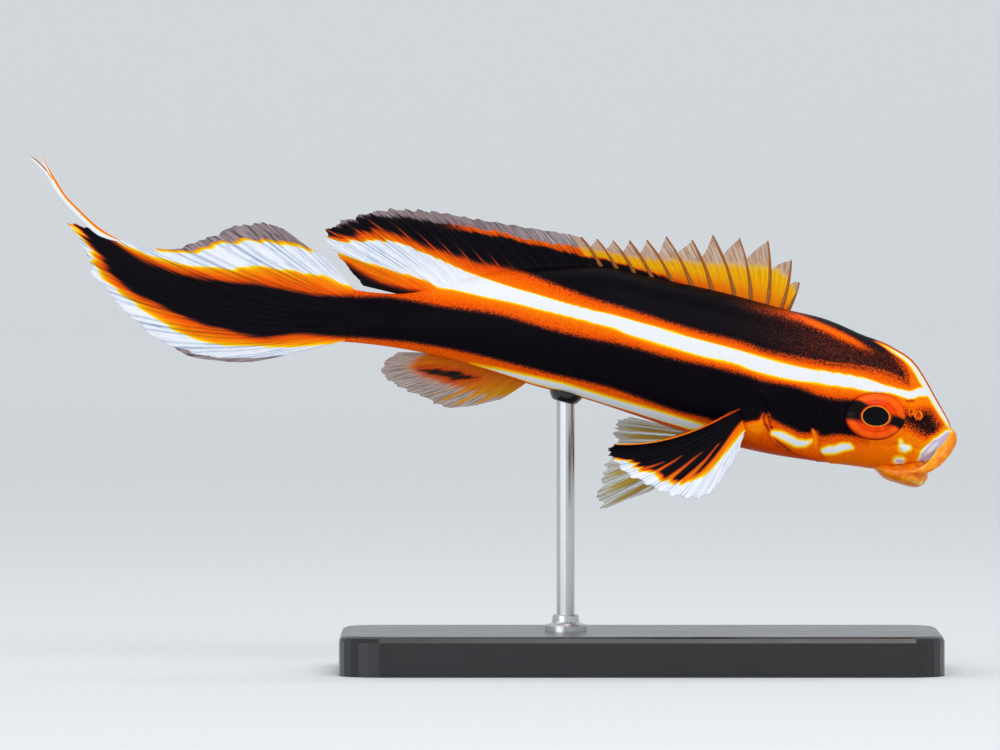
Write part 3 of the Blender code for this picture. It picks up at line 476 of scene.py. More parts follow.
TAIL_STRIPES = (
    (TAIL_WHITE_OUT, 0.3, AMBER),
    (TAIL_WHITE_OUT, 0.1, YELLOW),
    (TAIL_WHITE_OUT, -0.08, WHITE),
    (TAIL_ORANGE_TOP, 0.1, WHITE),
    (TAIL_ORANGE_TOP, -0.05, YELLOW),
    (TAIL_ORANGE_TOP, -0.3, AMBER),
    (TAIL_BLACK_TOP, 0.3, RED),
    (TAIL_BLACK_TOP, 0.0, BROWN),
    (TAIL_BLACK_TOP, -0.2, BLACK),
    (TAIL_BLACK_LOW, 0.2, BLACK),
    (TAIL_BLACK_LOW, 0.0, BROWN),
    (TAIL_BLACK_LOW, -0.25, RED),
    (TAIL_ORANGE_LOW, 0.3, AMBER),
    (TAIL_ORANGE_LOW, 0.05, YELLOW),
    (TAIL_ORANGE_LOW, -0.1, WHITE),
)
PECTORAL_STRIPES = (
    (PECTORAL_BLACK_LOW, 0.2, BLACK),
    (PECTORAL_BLACK_LOW, 0.0, BROWN),
    (PECTORAL_BLACK_LOW, -0.15, ORANGE),
    (PECTORAL_ORANGE_LOW, 0.2, AMBER),
    (PECTORAL_ORANGE_LOW, 0.0, YELLOW),
    (PECTORAL_ORANGE_LOW, -0.15, WHITE),
)

# Spacing of the scales and of the dots of pigment, and how dense the streaks of the fins are
SCALE_SPACING = 0.4
PIGMENT_SPACING = 0.15
STREAKS_PER_RAY = 14.0
STREAKS_PER_MM = 0.35
# Levels at which a fin gives the strength of its streaks
STREAK_LEVELS = (-1, -0.2, 0, 1, 2, 4)

LIP_SHADES = ((0.0, "#F2DCA0"), (0.25, "#F8AE10"), (0.5, "#F08400"), (0.75, "#E06400"), (1.0, "#9E3C02"))
# Shades of the eye, from the pupil's middle at 0 and its edge at 0.5 to the rim at 1
IRIS_SHADES = (
    (0.0, "#05060A"), (0.485, "#06060A"), (0.5, "#FF9A20"), (0.518, "#F07410"), (0.54, "#E23A00"),
    (0.64, "#FA4600"), (0.7, "#DA3800"), (0.73, "#FF5200"), (0.88, "#FF640A"), (0.955, "#E04004"),
    (0.98, "#8A1A04"), (1.0, "#5A0E06"),
)
SHADER_SOCKETS = {
    "roughness": "Roughness",
    "metallic": "Metallic",
    "ior": "IOR",
    "coat": "Coat Weight",
    "coat_roughness": "Coat Roughness",
    "subsurface": "Subsurface Weight",
    "subsurface_scale": "Subsurface Scale",
    "subsurface_radius": "Subsurface Radius",
    "specular": "Specular IOR Level",
}


def linear(hex_colour):
    """Linear red, green, blue and alpha of an sRGB hex colour."""
    shares = [int(hex_colour[i : i + 2], 16) / 255 for i in (1, 3, 5)]
    return (*[s / 12.92 if s <= 0.04045 else ((s + 0.055) / 1.055) ** 2.4 for s in shares], 1.0)


def feed(node, sources):
    """Link sockets, or the first live output of nodes, to a node's inputs."""
    for key, source in sources.items():
        if isinstance(source, bpy.types.Node):
            source = next(output for output in source.outputs if output.enabled)
        node.id_data.links.new(source, node.inputs[key])


def add(tree, kind, settings=None, links=None):
    """Node with its settings, by socket or by property, and its inputs linked. Shades are rows
    of a place from 0 to 1 and a colour, for a node that picks a colour by a value."""
    node = tree.nodes.new(kind)
    settings = dict(settings or {})
    shades = settings.pop("shades", ())
    properties = [key for key in settings if isinstance(key, str) and hasattr(node, key)]
    for key in properties:
        setattr(node, key, settings.pop(key))
    for key, value in settings.items():
        node.inputs[key].default_value = value
    for _ in shades[2:]:
        node.color_ramp.elements.new(0.5)
    for at, (place, shade) in enumerate(shades):
        node.color_ramp.elements[at].position = place
        node.color_ramp.elements[at].color = linear(shade)
    feed(node, links or {})
    return node


def through(knots, values, at):
    """Smooth curve through the values at the knots, read at one or many places."""
    knots = np.asarray(knots, float)
    values = np.asarray(values, float)
    slopes = np.gradient(values, knots, axis=0)
    at = np.clip(np.asarray(at, float), knots[0], knots[-1])
    low = np.clip(np.searchsorted(knots, at, side="right") - 1, 0, len(knots) - 2)
    step = (knots[low + 1] - knots[low])[..., None]
    t = (at - knots[low])[..., None] / step
    start = (1 + 2 * t) * (1 - t) ** 2 * values[low] + t * (1 - t) ** 2 * step * slopes[low]
    end = t**2 * (3 - 2 * t) * values[low + 1] + t**2 * (t - 1) * step * slopes[low + 1]
    return start + end


def rise(low, high, at):
    """Smooth step from 0 at the low value to 1 at the high one."""
    t = np.clip((at - low) / (high - low), 0.0, 1.0)
    return t * t * (3 - 2 * t)


def bent(points):
    """Points of the straight fish moved to where its bent tail has them."""
    points = np.array(points, float)
    behind = np.clip((BEND_START_X - points[..., 0]) / BEND_LENGTH, 0.0, None)
    points[..., 1] += BEND_SWEEP * behind**2
    return points


def body_point(station, angle, out=0.0):
    """Point of the skin before the bend. The angle in degrees is 0 on the left, 90 on the back."""
    station, angle = np.broadcast_arrays(station, np.radians(angle))
    row = through(KNOTS, STATIONS, station)
    middle = (row[..., 0:2] + row[..., 2:4]) / 2
    half = (row[..., 0:2] - row[..., 2:4]) / 2
    length = np.linalg.norm(half, axis=-1)
    power = 2 / BODY_SQUARENESS
    across = np.sign(np.cos(angle)) * np.abs(np.cos(angle)) ** power
    up = np.sign(np.sin(angle)) * np.abs(np.sin(angle)) ** power * (1 + out / length)
    x = middle[..., 0] + half[..., 0] * up
    z = middle[..., 1] + half[..., 1] * up
    return np.stack((x, across * (row[..., 4] + out), z), axis=-1)


def midline_point(x, upper, out):
    """Point of the back or the belly at an x, moved out of the skin."""
    column = 0 if upper else 2
    station = np.interp(x, STATIONS[:, column], KNOTS)
    return body_point(station, 90.0 if upper else -90.0, out)


def unit(vectors):
    """Vectors at length 1."""
    return vectors / np.maximum(np.linalg.norm(vectors, axis=-1, keepdims=True), 1e-12)


def beside(x, z, path, half=0.0):
    """Distance in the side view to a path, less the half width that the path has there."""
    path = np.array(path, float)
    half = np.broadcast_to(half, len(path))
    nearest = np.full(np.shape(x), 1e9)
    for here, there, width, next_width in zip(path, path[1:], half, half[1:]):
        run = there - here
        t = np.clip(((x - here[0]) * run[0] + (z - here[1]) * run[1]) / (run @ run), 0.0, 1.0)
        gap = np.hypot(x - here[0] - t * run[0], z - here[1] - t * run[1])
        nearest = np.minimum(nearest, gap - width - t * (next_width - width))
    return nearest


def above(x, z, path):
    """Height above a path that runs toward the head, negative below it."""
    path = np.array(path, float)
    fine = through(np.arange(len(path)), path, np.linspace(0, len(path) - 1, 3 * len(path)))
    fine = np.vstack((fine[0] - (40.0, 0.0), fine, fine[-1] + (40.0, 0.0)))
    side = np.where(z >= np.interp(x, fine[:, 0], fine[:, 1]), 1.0, -1.0)
    return side * beside(x, z, fine)


def striped(x, z, stripes):
    """Colour level at points of the side view, between the rows of a table of stripes."""
    heights = {path: above(x, z, path) for path in {row[0] for row in stripes}}
    level = np.full(np.shape(x), stripes[0][2])
    for (path, shift, start), (next_path, next_shift, end) in zip(stripes, stripes[1:]):
        over = heights[path] - shift
        under = heights[next_path] - next_shift
        share = np.clip(-over / np.maximum(under - over, 0.02), 0.0, 1.0)
        level = np.where(over < 0, start + (end - start) * share, level)
    return np.where(heights[stripes[-1][0]] < stripes[-1][1], stripes[-1][2], level)


def paint(level, x, z, path, half, core, fringe, soft=0.3):
    """Mark along a path, which has its own level in the middle and a fringe level at its edge."""
    gap = beside(x, z, path, half)
    mark = np.interp(gap, (-0.5 * soft, 0.4 * soft), (core, fringe))
    keep = np.clip(gap / soft - 0.4, 0.0, 1.0)
    return mark + (level - mark) * keep


def speckle_for(level):
    """Strength of the dots of pigment, which is least inside the white."""
    return np.interp(level, (0.0, 0.3, 1.0, 1.9, 2.4, 3.0, 4.0), (0.04, 0.12, 0.25, 0.22, 0.5, 0.7, 0.4))


def inset(path, depth):
    """Path that lies to the right of one that runs toward the head, by a depth in mm."""
    path = np.array(path, float)
    run = unit(np.gradient(path, axis=0))
    return path + np.array(depth)[:, None] * np.stack((run[:, 1], -run[:, 0]), axis=-1)


def nape_glow(x, z):
    """Strength of the orange streak over the nape."""
    path = np.array(NAPE_GLOW, float)
    strength = np.interp(x, path[:, 0], NAPE_GLOW_STRENGTH, right=0.0)
    width = np.interp(x, path[:, 0], NAPE_GLOW_WIDTH)
    return strength * np.exp(-((beside(x, z, NAPE_GLOW) / width) ** 2))


def body_colours(x, z):
    """Colour level and speckle of the skin."""
    level = striped(x, z, BODY_STRIPES)
    over_white = above(x, z, WHITE_TOP)
    # The upper band ends above the eye, and the face is plain orange
    ahead = above(z, x, [(point[1], point[0]) for point in UPPER_BAND_FRONT])
    front = np.interp(ahead, (-0.5, -0.1, 0.3), (BLACK, BROWN, ORANGE))
    level = np.where((over_white > 0.3) & (x > 20.0), np.minimum(level, front), level)
    face = (x > 22.6) & (above(x, z, WHITE_LOW) < -0.3)
    level = np.where(face, ORANGE - 0.15 * rise(24.0, 28.0, x), level)
    # The black pales over the nape, under an orange streak
    nape = rise(5.0, 19.0, x) * rise(0.3, 0.9, over_white) * rise(0.3, -0.1, ahead)
    nape = nape * rise(0.15, 0.8, beside(x, z, STATIONS[6:14, :2]))
    level = level - 0.75 * nape * rise(2.6, 3.4, level)
    glow = np.clip(nape_glow(x, z) * rise(0.3, 0.9, over_white), 0.0, 1.0)
    level = level - np.clip(level - NAPE_ORANGE, 0.0, None) * glow
    # Throat, belly, snout and the edge of the gill cover
    throat = beside(x, z, THROAT_BROWN, THROAT_BROWN_HALF)
    level = paint(level, x, z, THROAT_BROWN, THROAT_BROWN_HALF, 2.5, 2.3, 0.9)
    level = paint(level, x, z, BELLY_WHITE, BELLY_WHITE_HALF, WHITE, YELLOW, 0.3)
    level = paint(level, x, z, SNOUT_PATCH, SNOUT_PATCH_HALF, 3.5, 2.7, 0.7)
    level = paint(level, x, z, GILL_RIM, -0.02, 1.2, 1.8, 0.2)
    # Amber pad at the root of the pectoral fin
    pad = np.hypot((x - 11.6) / 1.2, (z - 24.9) / 0.9)
    level = level + (1.75 - level) * rise(1.2, 0.7, pad) * rise(2.9, 2.3, level)
    # Thin dark lines of painted shade along the seams at the edges of the gill cover
    for path in GILL_SEAM_SHADES:
        level = paint(level, x, z, path, GILL_SEAM_SHADE_HALF, 3.1, 2.6, 0.14)
    # White line over the snout, just inside the outline
    steps = np.linspace(SNOUT_WHITE_START, len(KNOTS) - 1, 57)
    crown = through(KNOTS, STATIONS[:, :2], np.interp(steps, np.arange(len(KNOTS)), KNOTS))
    marks = np.arange(SNOUT_WHITE_START, len(KNOTS))
    snout = inset(crown, np.interp(steps, marks, SNOUT_WHITE_DEPTH))
    snout_half = np.interp(steps, marks, SNOUT_WHITE_HALF)
    # Marks of the face: their path, half width, level inside and at the edge, and softness.
    # Where two white ones meet they join
    for path, half, core, fringe, soft in (
        (snout, snout_half, WHITE, YELLOW, 0.18),
        (GILL_DASH, GILL_DASH_HALF, WHITE, YELLOW, 0.26),
        (CHEEK_DASH, CHEEK_DASH_HALF, WHITE, YELLOW, 0.24),
        (CHEEK_SPOT, CHEEK_SPOT_HALF, WHITE, YELLOW, 0.26),
        (LILAC_SPOT, LILAC_SPOT_HALF, -0.7, 0.9, 0.34),
        (LIP_WEB, LIP_WEB_HALF, -0.6, 1.6, 0.5),
        (LIP_STREAK, LIP_STREAK_HALF, WHITE, -0.6, 0.3),
    ):
        marked = paint(level, x, z, path, half, core, fringe, soft)
        joined = (level < YELLOW) & (path is not LIP_STREAK)
        level = np.where(joined, np.minimum(level, marked), marked)
    # Painted shade darkens the middle of each nostril's pit
    for place_x, place_z, radius in NOSTRILS:
        away = np.hypot(x - place_x, z - place_z) / radius
        nostril_pit_shade = np.interp(away, (0.3, 0.9, 1.3), (2.9, 2.0, 1.9))
        level = level + (nostril_pit_shade - level) * rise(1.7, 1.3, away)
    # Dark line over the snout, and a redder one along the belly
    crest = rise(0.1, 0.02, beside(x, z, crown)) * rise(21.0, 23.0, x)
    level = level + (np.maximum(level, 2.7) - level) * crest * rise(23.6, 24.4, z)
    keel_x, keel_half = np.transpose(KEEL_HALF)
    keel = beside(x, z, STATIONS[2:11, 2:4]) - np.interp(x, keel_x, keel_half)
    keel = rise(0.1, -0.06, keel) * rise(-24.0, -20.0, x)
    level = level + (2.45 - level) * keel * rise(13.0, 10.5, x)
    speckle = speckle_for(level) + 0.15 * nape * rise(2.0, 3.0, level)
    speckle = speckle + np.where(beside(x, z, SNOUT_PATCH, 1.0) < 0, 0.5, 0.0)
    return level, speckle * (1 - 0.8 * rise(0.4, -0.2, throat))


def skin_relief(x, y, z):
    """Height of the skin's own forms above the smooth body."""
    flank = rise(0.5, 1.6, np.abs(y))
    # Rim and hollow of the eye
    round_eye = np.hypot((x - EYE_X) / 2.98, (z - EYE_Z) / 2.33)
    height = 0.1 * np.exp(-(((round_eye - 1.1) / 0.08) ** 2))
    height = height - 1.1 * rise(1.0, 0.86, round_eye)
    # Plates: the step at the edge, how far it fades ahead and how wide a band it has
    for path, step, reach, band in ((GILL_EDGE, 0.3, 2.0, 3.2), (CHEEK_EDGE, 0.18, 1.2, 2.0)):
        gap = beside(x, z, path)
        edge = [(point[1], point[0]) for point in sorted(path, key=lambda point: point[1])]
        ahead = above(z, x, edge)
        lifted = step * rise(-0.1, 0.12, ahead) * np.exp(-np.clip(ahead, 0.0, None) / reach)
        near = rise(band, 0.5 * band, gap) * rise(path[0][1] + 0.4, path[0][1] - 0.8, z)
        height = height + (lifted - 0.1 * np.exp(-((ahead + 0.15) ** 2) / 0.03)) * near
    for path, depth, width in ((MAXILLA_EDGE, 0.14, 0.16), (UNDER_EYE_EDGE, 0.1, 0.14)):
        height = height - depth * np.exp(-((beside(x, z, path) / width) ** 2))
    # Fleshy pad at the root of the pectoral fin
    pad = np.hypot((x - 11.3) / 1.3, (z - 24.6) / 1.6)
    height = height + 0.4 * np.exp(-(pad**2))
    for place_x, place_z, radius in NOSTRILS:
        away = np.hypot(x - place_x, z - place_z) / radius
        height = height + 0.07 * np.exp(-(((away - 1.15) / 0.35) ** 2))
        height = height - 0.22 * rise(1.0, 0.3, away)
    crest = 0.22 * np.exp(-((y / 1.0) ** 2)) * rise(21.5, 25.0, x) * rise(23.0, 25.0, z)
    return height * flank + crest


def mesh_piece(name, points, faces, material, floats=None, vectors=None, uv=None, edges=()):
    """Mesh object from points in mm. The floats, vectors and uv hold a value for each point."""
    mesh = bpy.data.meshes.new(name)
    mesh.from_pydata((np.asarray(points) * MM).tolist(), edges, faces)
    for key, values in (floats or {}).items():
        layer = mesh.attributes.new(key, "FLOAT", "POINT")
        layer.data.foreach_set("value", np.asarray(values, np.float32).ravel())
    for key, values in (vectors or {}).items():
        layer = mesh.attributes.new(key, "FLOAT_VECTOR", "POINT")
        layer.data.foreach_set("vector", np.asarray(values, np.float32).ravel())
    if uv is not None:
        corner = np.empty(len(mesh.loops), np.int32)
        mesh.loops.foreach_get("vertex_index", corner)
        chart = mesh.uv_layers.new(name="chart")
        chart.data.foreach_set("uv", np.asarray(uv, np.float32).reshape(-1, 2)[corner].ravel())
    piece = bpy.data.objects.new(name, mesh)
    bpy.context.scene.collection.objects.link(piece)
    mesh.materials.append(material)
    return piece


def settle(piece, body_nodes):
    """Apply the modifiers, turn the faces outward, hang the piece from the root, and hide the parts that
    it stands for.
    """
    if piece.modifiers:
        bpy.context.view_layer.update()
        result = piece.evaluated_get(bpy.context.evaluated_depsgraph_get())
        mesh = bpy.data.meshes.new_from_object(result)
        piece.modifiers.clear()
        piece.data = mesh
    cage = bmesh.new()
    cage.from_mesh(piece.data)
    if cage.calc_volume(signed=True) < 0:
        bmesh.ops.reverse_faces(cage, faces=cage.faces)
    cage.to_mesh(piece.data)
    cage.free()
    piece.data.shade_smooth()
    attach(piece, "root")
    if body_nodes:
        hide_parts(*body_nodes)
    return piece


def tube_faces(rings, sides):
    """Faces of a closed tube whose two end points follow its rings."""
    faces = []
    for ring in range(rings - 1):
        for side in range(sides):
            here, there = ring * sides + side, ring * sides + (side + 1) % sides
            faces.append((here, there, there + sides, here + sides))
    last = (rings - 1) * sides
    for side in range(sides):
        following = (side + 1) % sides
        faces.append((following, side, rings * sides))
        faces.append((last + side, last + following, rings * sides + 1))
    return faces


def tube_piece(name, rings, material, floats, uv=None):
    """Closed body through rings of points."""
    count, sides = rings.shape[:2]
    points = np.vstack((rings.reshape(-1, 3), rings[0].mean(axis=0), rings[-1].mean(axis=0)))
    ended = {}
    for key, values in floats.items():
        values = np.broadcast_to(values, (count, sides))
        ended[key] = np.append(values.ravel(), (values[0].mean(), values[-1].mean()))
    if uv is not None:
        uv = np.vstack((uv.reshape(-1, 2), (0.0, 0.0), (0.0, 0.0)))
    return mesh_piece(name, points, tube_faces(count, sides), material, ended, uv=uv)


def skin_piece(material):
    """One skin over head, trunk, tail stalk and gill covers."""
    share = np.linspace(0.0, 1.0, SKIN_RINGS)
    station = KNOTS[0] + (KNOTS[-1] - KNOTS[0]) * (1.4 * share - 0.4 * share**2)
    angle = -90.0 + 360.0 * (np.arange(SKIN_SIDES) + 0.5) / SKIN_SIDES
    grid = body_point(station[:, None], angle[None, :])
    # Smaller rings round off the tip of the snout
    snout = grid[-1]
    middle = snout.mean(axis=0)
    cap = []
    for turn in np.radians((20.0, 40.0, 60.0, 75.0)):
        ring = middle + (snout - middle) * math.cos(turn)
        ring[:, 0] += 0.3 * math.sin(turn)
        cap.append(ring)
    grid = np.concatenate((grid, np.array(cap)))
    along = np.gradient(grid, axis=0)
    around = np.roll(grid, -1, axis=1) - np.roll(grid, 1, axis=1)
    outward = unit(np.cross(around, along))
    waist = grid[SKIN_RINGS // 2]
    if (outward[SKIN_RINGS // 2] * (waist - waist.mean(axis=0))).sum() < 0:
        outward = -outward
    x, y, z = grid[..., 0], grid[..., 1], grid[..., 2]
    level, speckle = body_colours(x, z)
    scaly = rise(29.5, 20.0, x) * rise(1.05, 1.4, np.hypot((x - EYE_X) / 3.1, (z - EYE_Z) / 2.45))
    lift = skin_relief(x, y, z)
    moved = bent(grid + outward * lift[..., None])
    count = len(grid)
    # A doubled column closes the chart without a jump
    steps = np.linalg.norm(np.roll(grid, -1, axis=1) - grid, axis=-1)
    girth = np.concatenate((np.zeros((count, 1)), np.cumsum(steps, axis=1)), axis=1)
    chart_u = np.repeat(x.mean(axis=1)[:, None], SKIN_SIDES + 1, axis=1)
    chart_v = girth - girth[:, -1:] / 2
    wrapped = np.concatenate((moved, moved[:, :1]), axis=1)
    columns = SKIN_SIDES + 1
    faces = []
    for ring in range(count - 1):
        for side in range(SKIN_SIDES):
            here = ring * columns + side
            faces.append((here, here + 1, here + columns + 1, here + columns))
    points = np.vstack((wrapped.reshape(-1, 3), moved[0].mean(axis=0), moved[-1].mean(axis=0)))
    for side in range(SKIN_SIDES):
        faces.append((side + 1, side, count * columns))
        last = (count - 1) * columns + side
        faces.append((last, last + 1, count * columns + 1))
    floats = {}
    for key, values in (("level", level), ("speckle", speckle), ("scaly", scaly)):
        values = np.concatenate((values, values[:, :1]), axis=1)
        floats[key] = np.append(values.ravel(), (values[0].mean(), values[-1].mean()))
    uv = np.stack((chart_u, chart_v), axis=-1).reshape(-1, 2)
    uv = np.vstack((uv, uv[0], uv[-1]))
    skin = mesh_piece("skin", points, faces, material, floats, uv=uv)
    cage = bmesh.new()
    cage.from_mesh(skin.data)
    bmesh.ops.remove_doubles(cage, verts=cage.verts, dist=1e-7)
    cage.to_mesh(skin.data)
    cage.free()
    nodes = ("head", "trunk", "tail_stalk", "gill_cover_right", "gill_cover_left")
    return settle(skin, nodes)


def ray_arc(root, tip, bow, side_vector, share):
    """Point of a bowed ray. The bow lifts its middle toward the side vector."""
    length = np.linalg.norm(tip - root, axis=-1, keepdims=True)
    middle = (root + tip) / 2 + side_vector * bow * length
    return (1 - share) ** 2 * root + 2 * share * (1 - share) * middle + share**2 * tip


def ragged_lengths(place, notch, ragged, seed):
    """Length of each column of a fin: full on the rays, a little less between them."""
    chance = np.random.default_rng(seed)
    count = int(place[-1] * NOTCHES_PER_RAY) + 8
    steps = np.arange(count)
    chips = np.interp(place * NOTCHES_PER_RAY, steps, chance.uniform(-1.0, 1.0, count))
    between = np.abs(np.sin(np.pi * place))
    return 1 - notch * between**1.5 - ragged * (0.5 + 0.5 * chips)


def branch_distance(place, along, branching):
    """Distance to the nearest branch of a ray, in places. A ray splits in two, then in four."""
    off = place - np.round(place)
    first = branching * 0.25 * rise(0.25, 0.65, along)
    second = branching * 0.125 * rise(0.5, 0.9, along)
    gaps = [
        np.abs(off - one * first - two * second) for one in (-1.0, 1.0) for two in (-1.0, 1.0)
    ]
    return np.minimum.reduce(gaps)


def web_faces(rows, columns):
    """Faces of a web whose points are doubled, with its rim closed."""
    count = (rows + 1) * columns
    faces = []
    for row in range(rows):
        for column in range(columns - 1):
            a = row * columns + column
            b, c, d = a + 1, a + columns + 1, a + columns
            faces.append((a, b, c, d))
            faces.append((a + count, d + count, c + count, b + count))
    rim = list(range(columns)) + [row * columns + columns - 1 for row in range(1, rows + 1)]
    rim += [rows * columns + column for column in range(columns - 2, -1, -1)]
    rim += [row * columns for row in range(rows - 1, 0, -1)]
    for here, there in zip(rim, rim[1:] + rim[:1]):
        faces.append((here, here + count, there + count, there))
    return faces


def fin_piece(node, place, length, path, look, build, material):
    """Thin web with raised rays. The path holds the root, tip and bow of each column and the
    bow's direction. The look gives level, clearness, speckle and margin for the web's points."""
    root, tip, bow, side_vector = path
    rows, branching, web, ray, swelling = build
    tall = np.linalg.norm(tip - root, axis=-1)
    along = np.linspace(0.0, 1.0, rows + 1)[:, None] * length
    place = np.broadcast_to(place, along.shape)
    grid = ray_arc(root, tip, bow[:, None], side_vector, along[..., None])
    # The web waves, more toward its edge
    up_ray, run = np.gradient(grid, axis=(0, 1))
    sway = WEB_SWAY * np.sin(1.9 * place + 3.0 * along) * along**2
    grid = grid + unit(np.cross(up_ray, run + 1e-9)) * sway[..., None]
    up_ray, run = np.gradient(grid, axis=(0, 1))
    outward = unit(np.cross(up_ray, run + 1e-9)).reshape(-1, 3)
    spacing = np.linalg.norm(run, axis=-1) / np.maximum(np.gradient(place, axis=1), 1e-3)
    width = RAY_WIDTH * (1 - 0.55 * along)
    from_ray = branch_distance(place, along, branching) * spacing / width
    # Colours shift along the rays in teeth
    chance = np.random.default_rng(7)
    count = int(place[0, -1] * TEETH_PER_RAY) + 2
    steps = np.arange(count)
    teeth = np.interp(place * TEETH_PER_RAY, steps, chance.uniform(-TEETH, TEETH, count))
    shift = teeth * rise(0.0, 0.3, along) * tall
    seen = grid + unit(up_ray) * shift[..., None]
    level, clear, speckle, margin = look(seen[..., 0], seen[..., 2], place, along)
    # Painted shade darkens the creases that lie midway between the rays, and fainter ones midway to those
    off, half_off = (np.abs(way - np.round(way)) for way in (place, 2 * place))
    crease = np.exp(-(((0.5 - off) / 0.05) ** 2)) + 0.6 * np.exp(-(((0.5 - half_off) / 0.09) ** 2))
    crease = np.clip(crease, 0.0, 1.0) * rise(0.15, 0.5, along)
    values = {
        "along": along,
        "from_ray": from_ray,
        "level": level,
        "clear": clear,
        "speckle": speckle,
        "margin": margin,
        "crease": crease,
    }
    twice = {key: np.tile(grid_values.ravel(), 2) for key, grid_values in values.items()}
    vectors = {"outward": np.concatenate((outward, -outward))}
    points = np.tile(bent(grid).reshape(-1, 3), (2, 1))
    uv = np.tile(np.stack((place, tall * along), axis=-1).reshape(-1, 2), (2, 1))
    faces = web_faces(rows, place.shape[1])
    piece = mesh_piece(node + "_web", points, faces, material, twice, vectors, uv)
    grow(piece, RIDGES, Web=web * MM, Ray=ray * MM, Root=swelling * MM, Finish=material)
    return settle(piece, (node,))


def new_tree(name, inputs):
    """Geometry tree with a geometry in and out, and named inputs for its sizes."""
    tree = bpy.data.node_groups.new(name, "GeometryNodeTree")
    tree.interface.new_socket("Geometry", in_out="INPUT", socket_type="NodeSocketGeometry")
    for label, kind in inputs:
        tree.interface.new_socket(label, in_out="INPUT", socket_type=kind)
    tree.interface.new_socket("Geometry", in_out="OUTPUT", socket_type="NodeSocketGeometry")
    return tree, add(tree, "NodeGroupInput"), add(tree, "NodeGroupOutput")


def dress(tree, shape, given, made):
    """End a tree with real geometry in its finish."""
    real = add(tree, "GeometryNodeRealizeInstances", {}, {"Geometry": shape})
    finish = {"Geometry": real, "Material": given.outputs["Finish"]}
    feed(made, {0: add(tree, "GeometryNodeSetMaterial", {}, finish)})
    return tree


def grow(piece, tree, **sizes):
    """Put a tree on a piece as a modifier, with its named inputs set."""
    step = piece.modifiers.new(tree.name, "NODES")
    step.node_group = tree
    for item in tree.interface.items_tree:
        if item.in_out == "INPUT" and item.name in sizes:
            step[item.identifier] = sizes[item.name]


def ray_ridge_tree():
    """Gives a flat doubled web its thickness and raises the rays in it."""
    kinds = [(size, "NodeSocketFloat") for size in ("Web", "Ray", "Root")]
    tree, given, made = new_tree("ray_ridges", kinds + [("Finish", "NodeSocketMaterial")])
    along, gap, outward = (
        add(tree, "GeometryNodeInputNamedAttribute", {"data_type": kind, "Name": name})
        for name, kind in (("along", "FLOAT"), ("from_ray", "FLOAT"), ("outward", "FLOAT_VECTOR"))
    )
    # Each ray is a bell across the web, which the colours read too
    square = add(tree, "ShaderNodeMath", {"operation": "POWER", 1: 2.0}, {0: gap})
    negative = add(tree, "ShaderNodeMath", {"operation": "MULTIPLY", 1: -1.0}, {0: square})
    bell = add(tree, "ShaderNodeMath", {"operation": "EXPONENT"}, {0: negative})
    stored = add(
        tree,
        "GeometryNodeStoreNamedAttribute",
        {"data_type": "FLOAT", "domain": "POINT", "Name": "ray"},
        {"Geometry": given.outputs["Geometry"], "Value": bell},
    )
    ridge = add(tree, "ShaderNodeMath", {"operation": "MULTIPLY"}, {0: bell, 1: given.outputs["Ray"]})
    both = add(tree, "ShaderNodeMath", {"operation": "ADD"}, {0: ridge, 1: given.outputs["Web"]})
    thinner = add(tree, "ShaderNodeMapRange", {"To Min": 1.0, "To Max": TIP_THINNESS}, {"Value": along})
    thin = add(tree, "ShaderNodeMath", {"operation": "MULTIPLY"}, {0: both, 1: thinner})
    # The root swells into the body
    settings = {"From Max": FLESHY_SHARE, "To Min": 1.0, "To Max": 0.0}
    foot = add(tree, "ShaderNodeMapRange", settings, {"Value": along})
    flare = add(tree, "ShaderNodeMath", {"operation": "MULTIPLY"}, {0: foot, 1: foot})
    fleshy = add(tree, "ShaderNodeMath", {"operation": "MULTIPLY"}, {0: flare, 1: given.outputs["Root"]})
    height = add(tree, "ShaderNodeMath", {"operation": "ADD"}, {0: thin, 1: fleshy})
    offset = add(tree, "ShaderNodeVectorMath", {"operation": "SCALE"}, {0: outward, "Scale": height})
    placed = add(tree, "GeometryNodeSetPosition", {}, {"Geometry": stored, "Offset": offset})
    return dress(tree, placed, given, made)


def spine_tree():
    """Round tapered spines along the lines of a mesh, whose points hold the thickness."""
    kinds = (("Sides", "NodeSocketInt"), ("Finish", "NodeSocketMaterial"))
    tree, given, made = new_tree("tapered_spines", kinds)
    line = add(tree, "GeometryNodeMeshToCurve", {}, {"Mesh": given.outputs["Geometry"]})
    settings = {"data_type": "FLOAT", "Name": "thickness"}
    thick = add(tree, "GeometryNodeInputNamedAttribute", settings)
    outline = add(
        tree,
        "GeometryNodeCurvePrimitiveCircle",
        {"mode": "RADIUS", "Radius": 1.0},
        {"Resolution": given.outputs["Sides"]},
    )
    swept = add(
        tree,
        "GeometryNodeCurveToMesh",
        {"Fill Caps": True},
        {"Curve": line, "Profile Curve": outline, "Scale": thick},
    )
    return dress(tree, swept, given, made)


def start_finish(name, **values):
    """Material with constant values on its shader, with its tree and shader."""
    made = bpy.data.materials.new(name)
    made.use_nodes = True
    shader = made.node_tree.nodes["Principled BSDF"]
    for key, value in values.items():
        shader.inputs[SHADER_SOCKETS[key]].default_value = value
    return made, made.node_tree, shader


def level_colours(tree, level, white):
    """Colour of a level, from lilac through white, yellow and orange to black."""
    settings = {"From Min": LILAC, "From Max": BLACK}
    place = add(tree, "ShaderNodeMapRange", settings, {"Value": level})
    shades = (
        (LILAC, "#D79AC0"),
        (-0.5, "#C9BED6"),
        (-0.08, white),
        (0.35, white),
        (0.75, "#FFE45A"),
        (YELLOW, "#FFD500"),
        (AMBER, "#FB9200"),
        (ORANGE, "#F46C00"),
        (RED, "#E64A00"),
        (2.7, "#98360A"),
        (BROWN, "#4A1A10"),
        (3.5, "#150910"),
        (BLACK, "#06040A"),
    )
    shades = [((at - LILAC) / (BLACK - LILAC), shade) for at, shade in shades]
    return add(tree, "ShaderNodeValToRGB", {"shades": shades}, {"Fac": place})


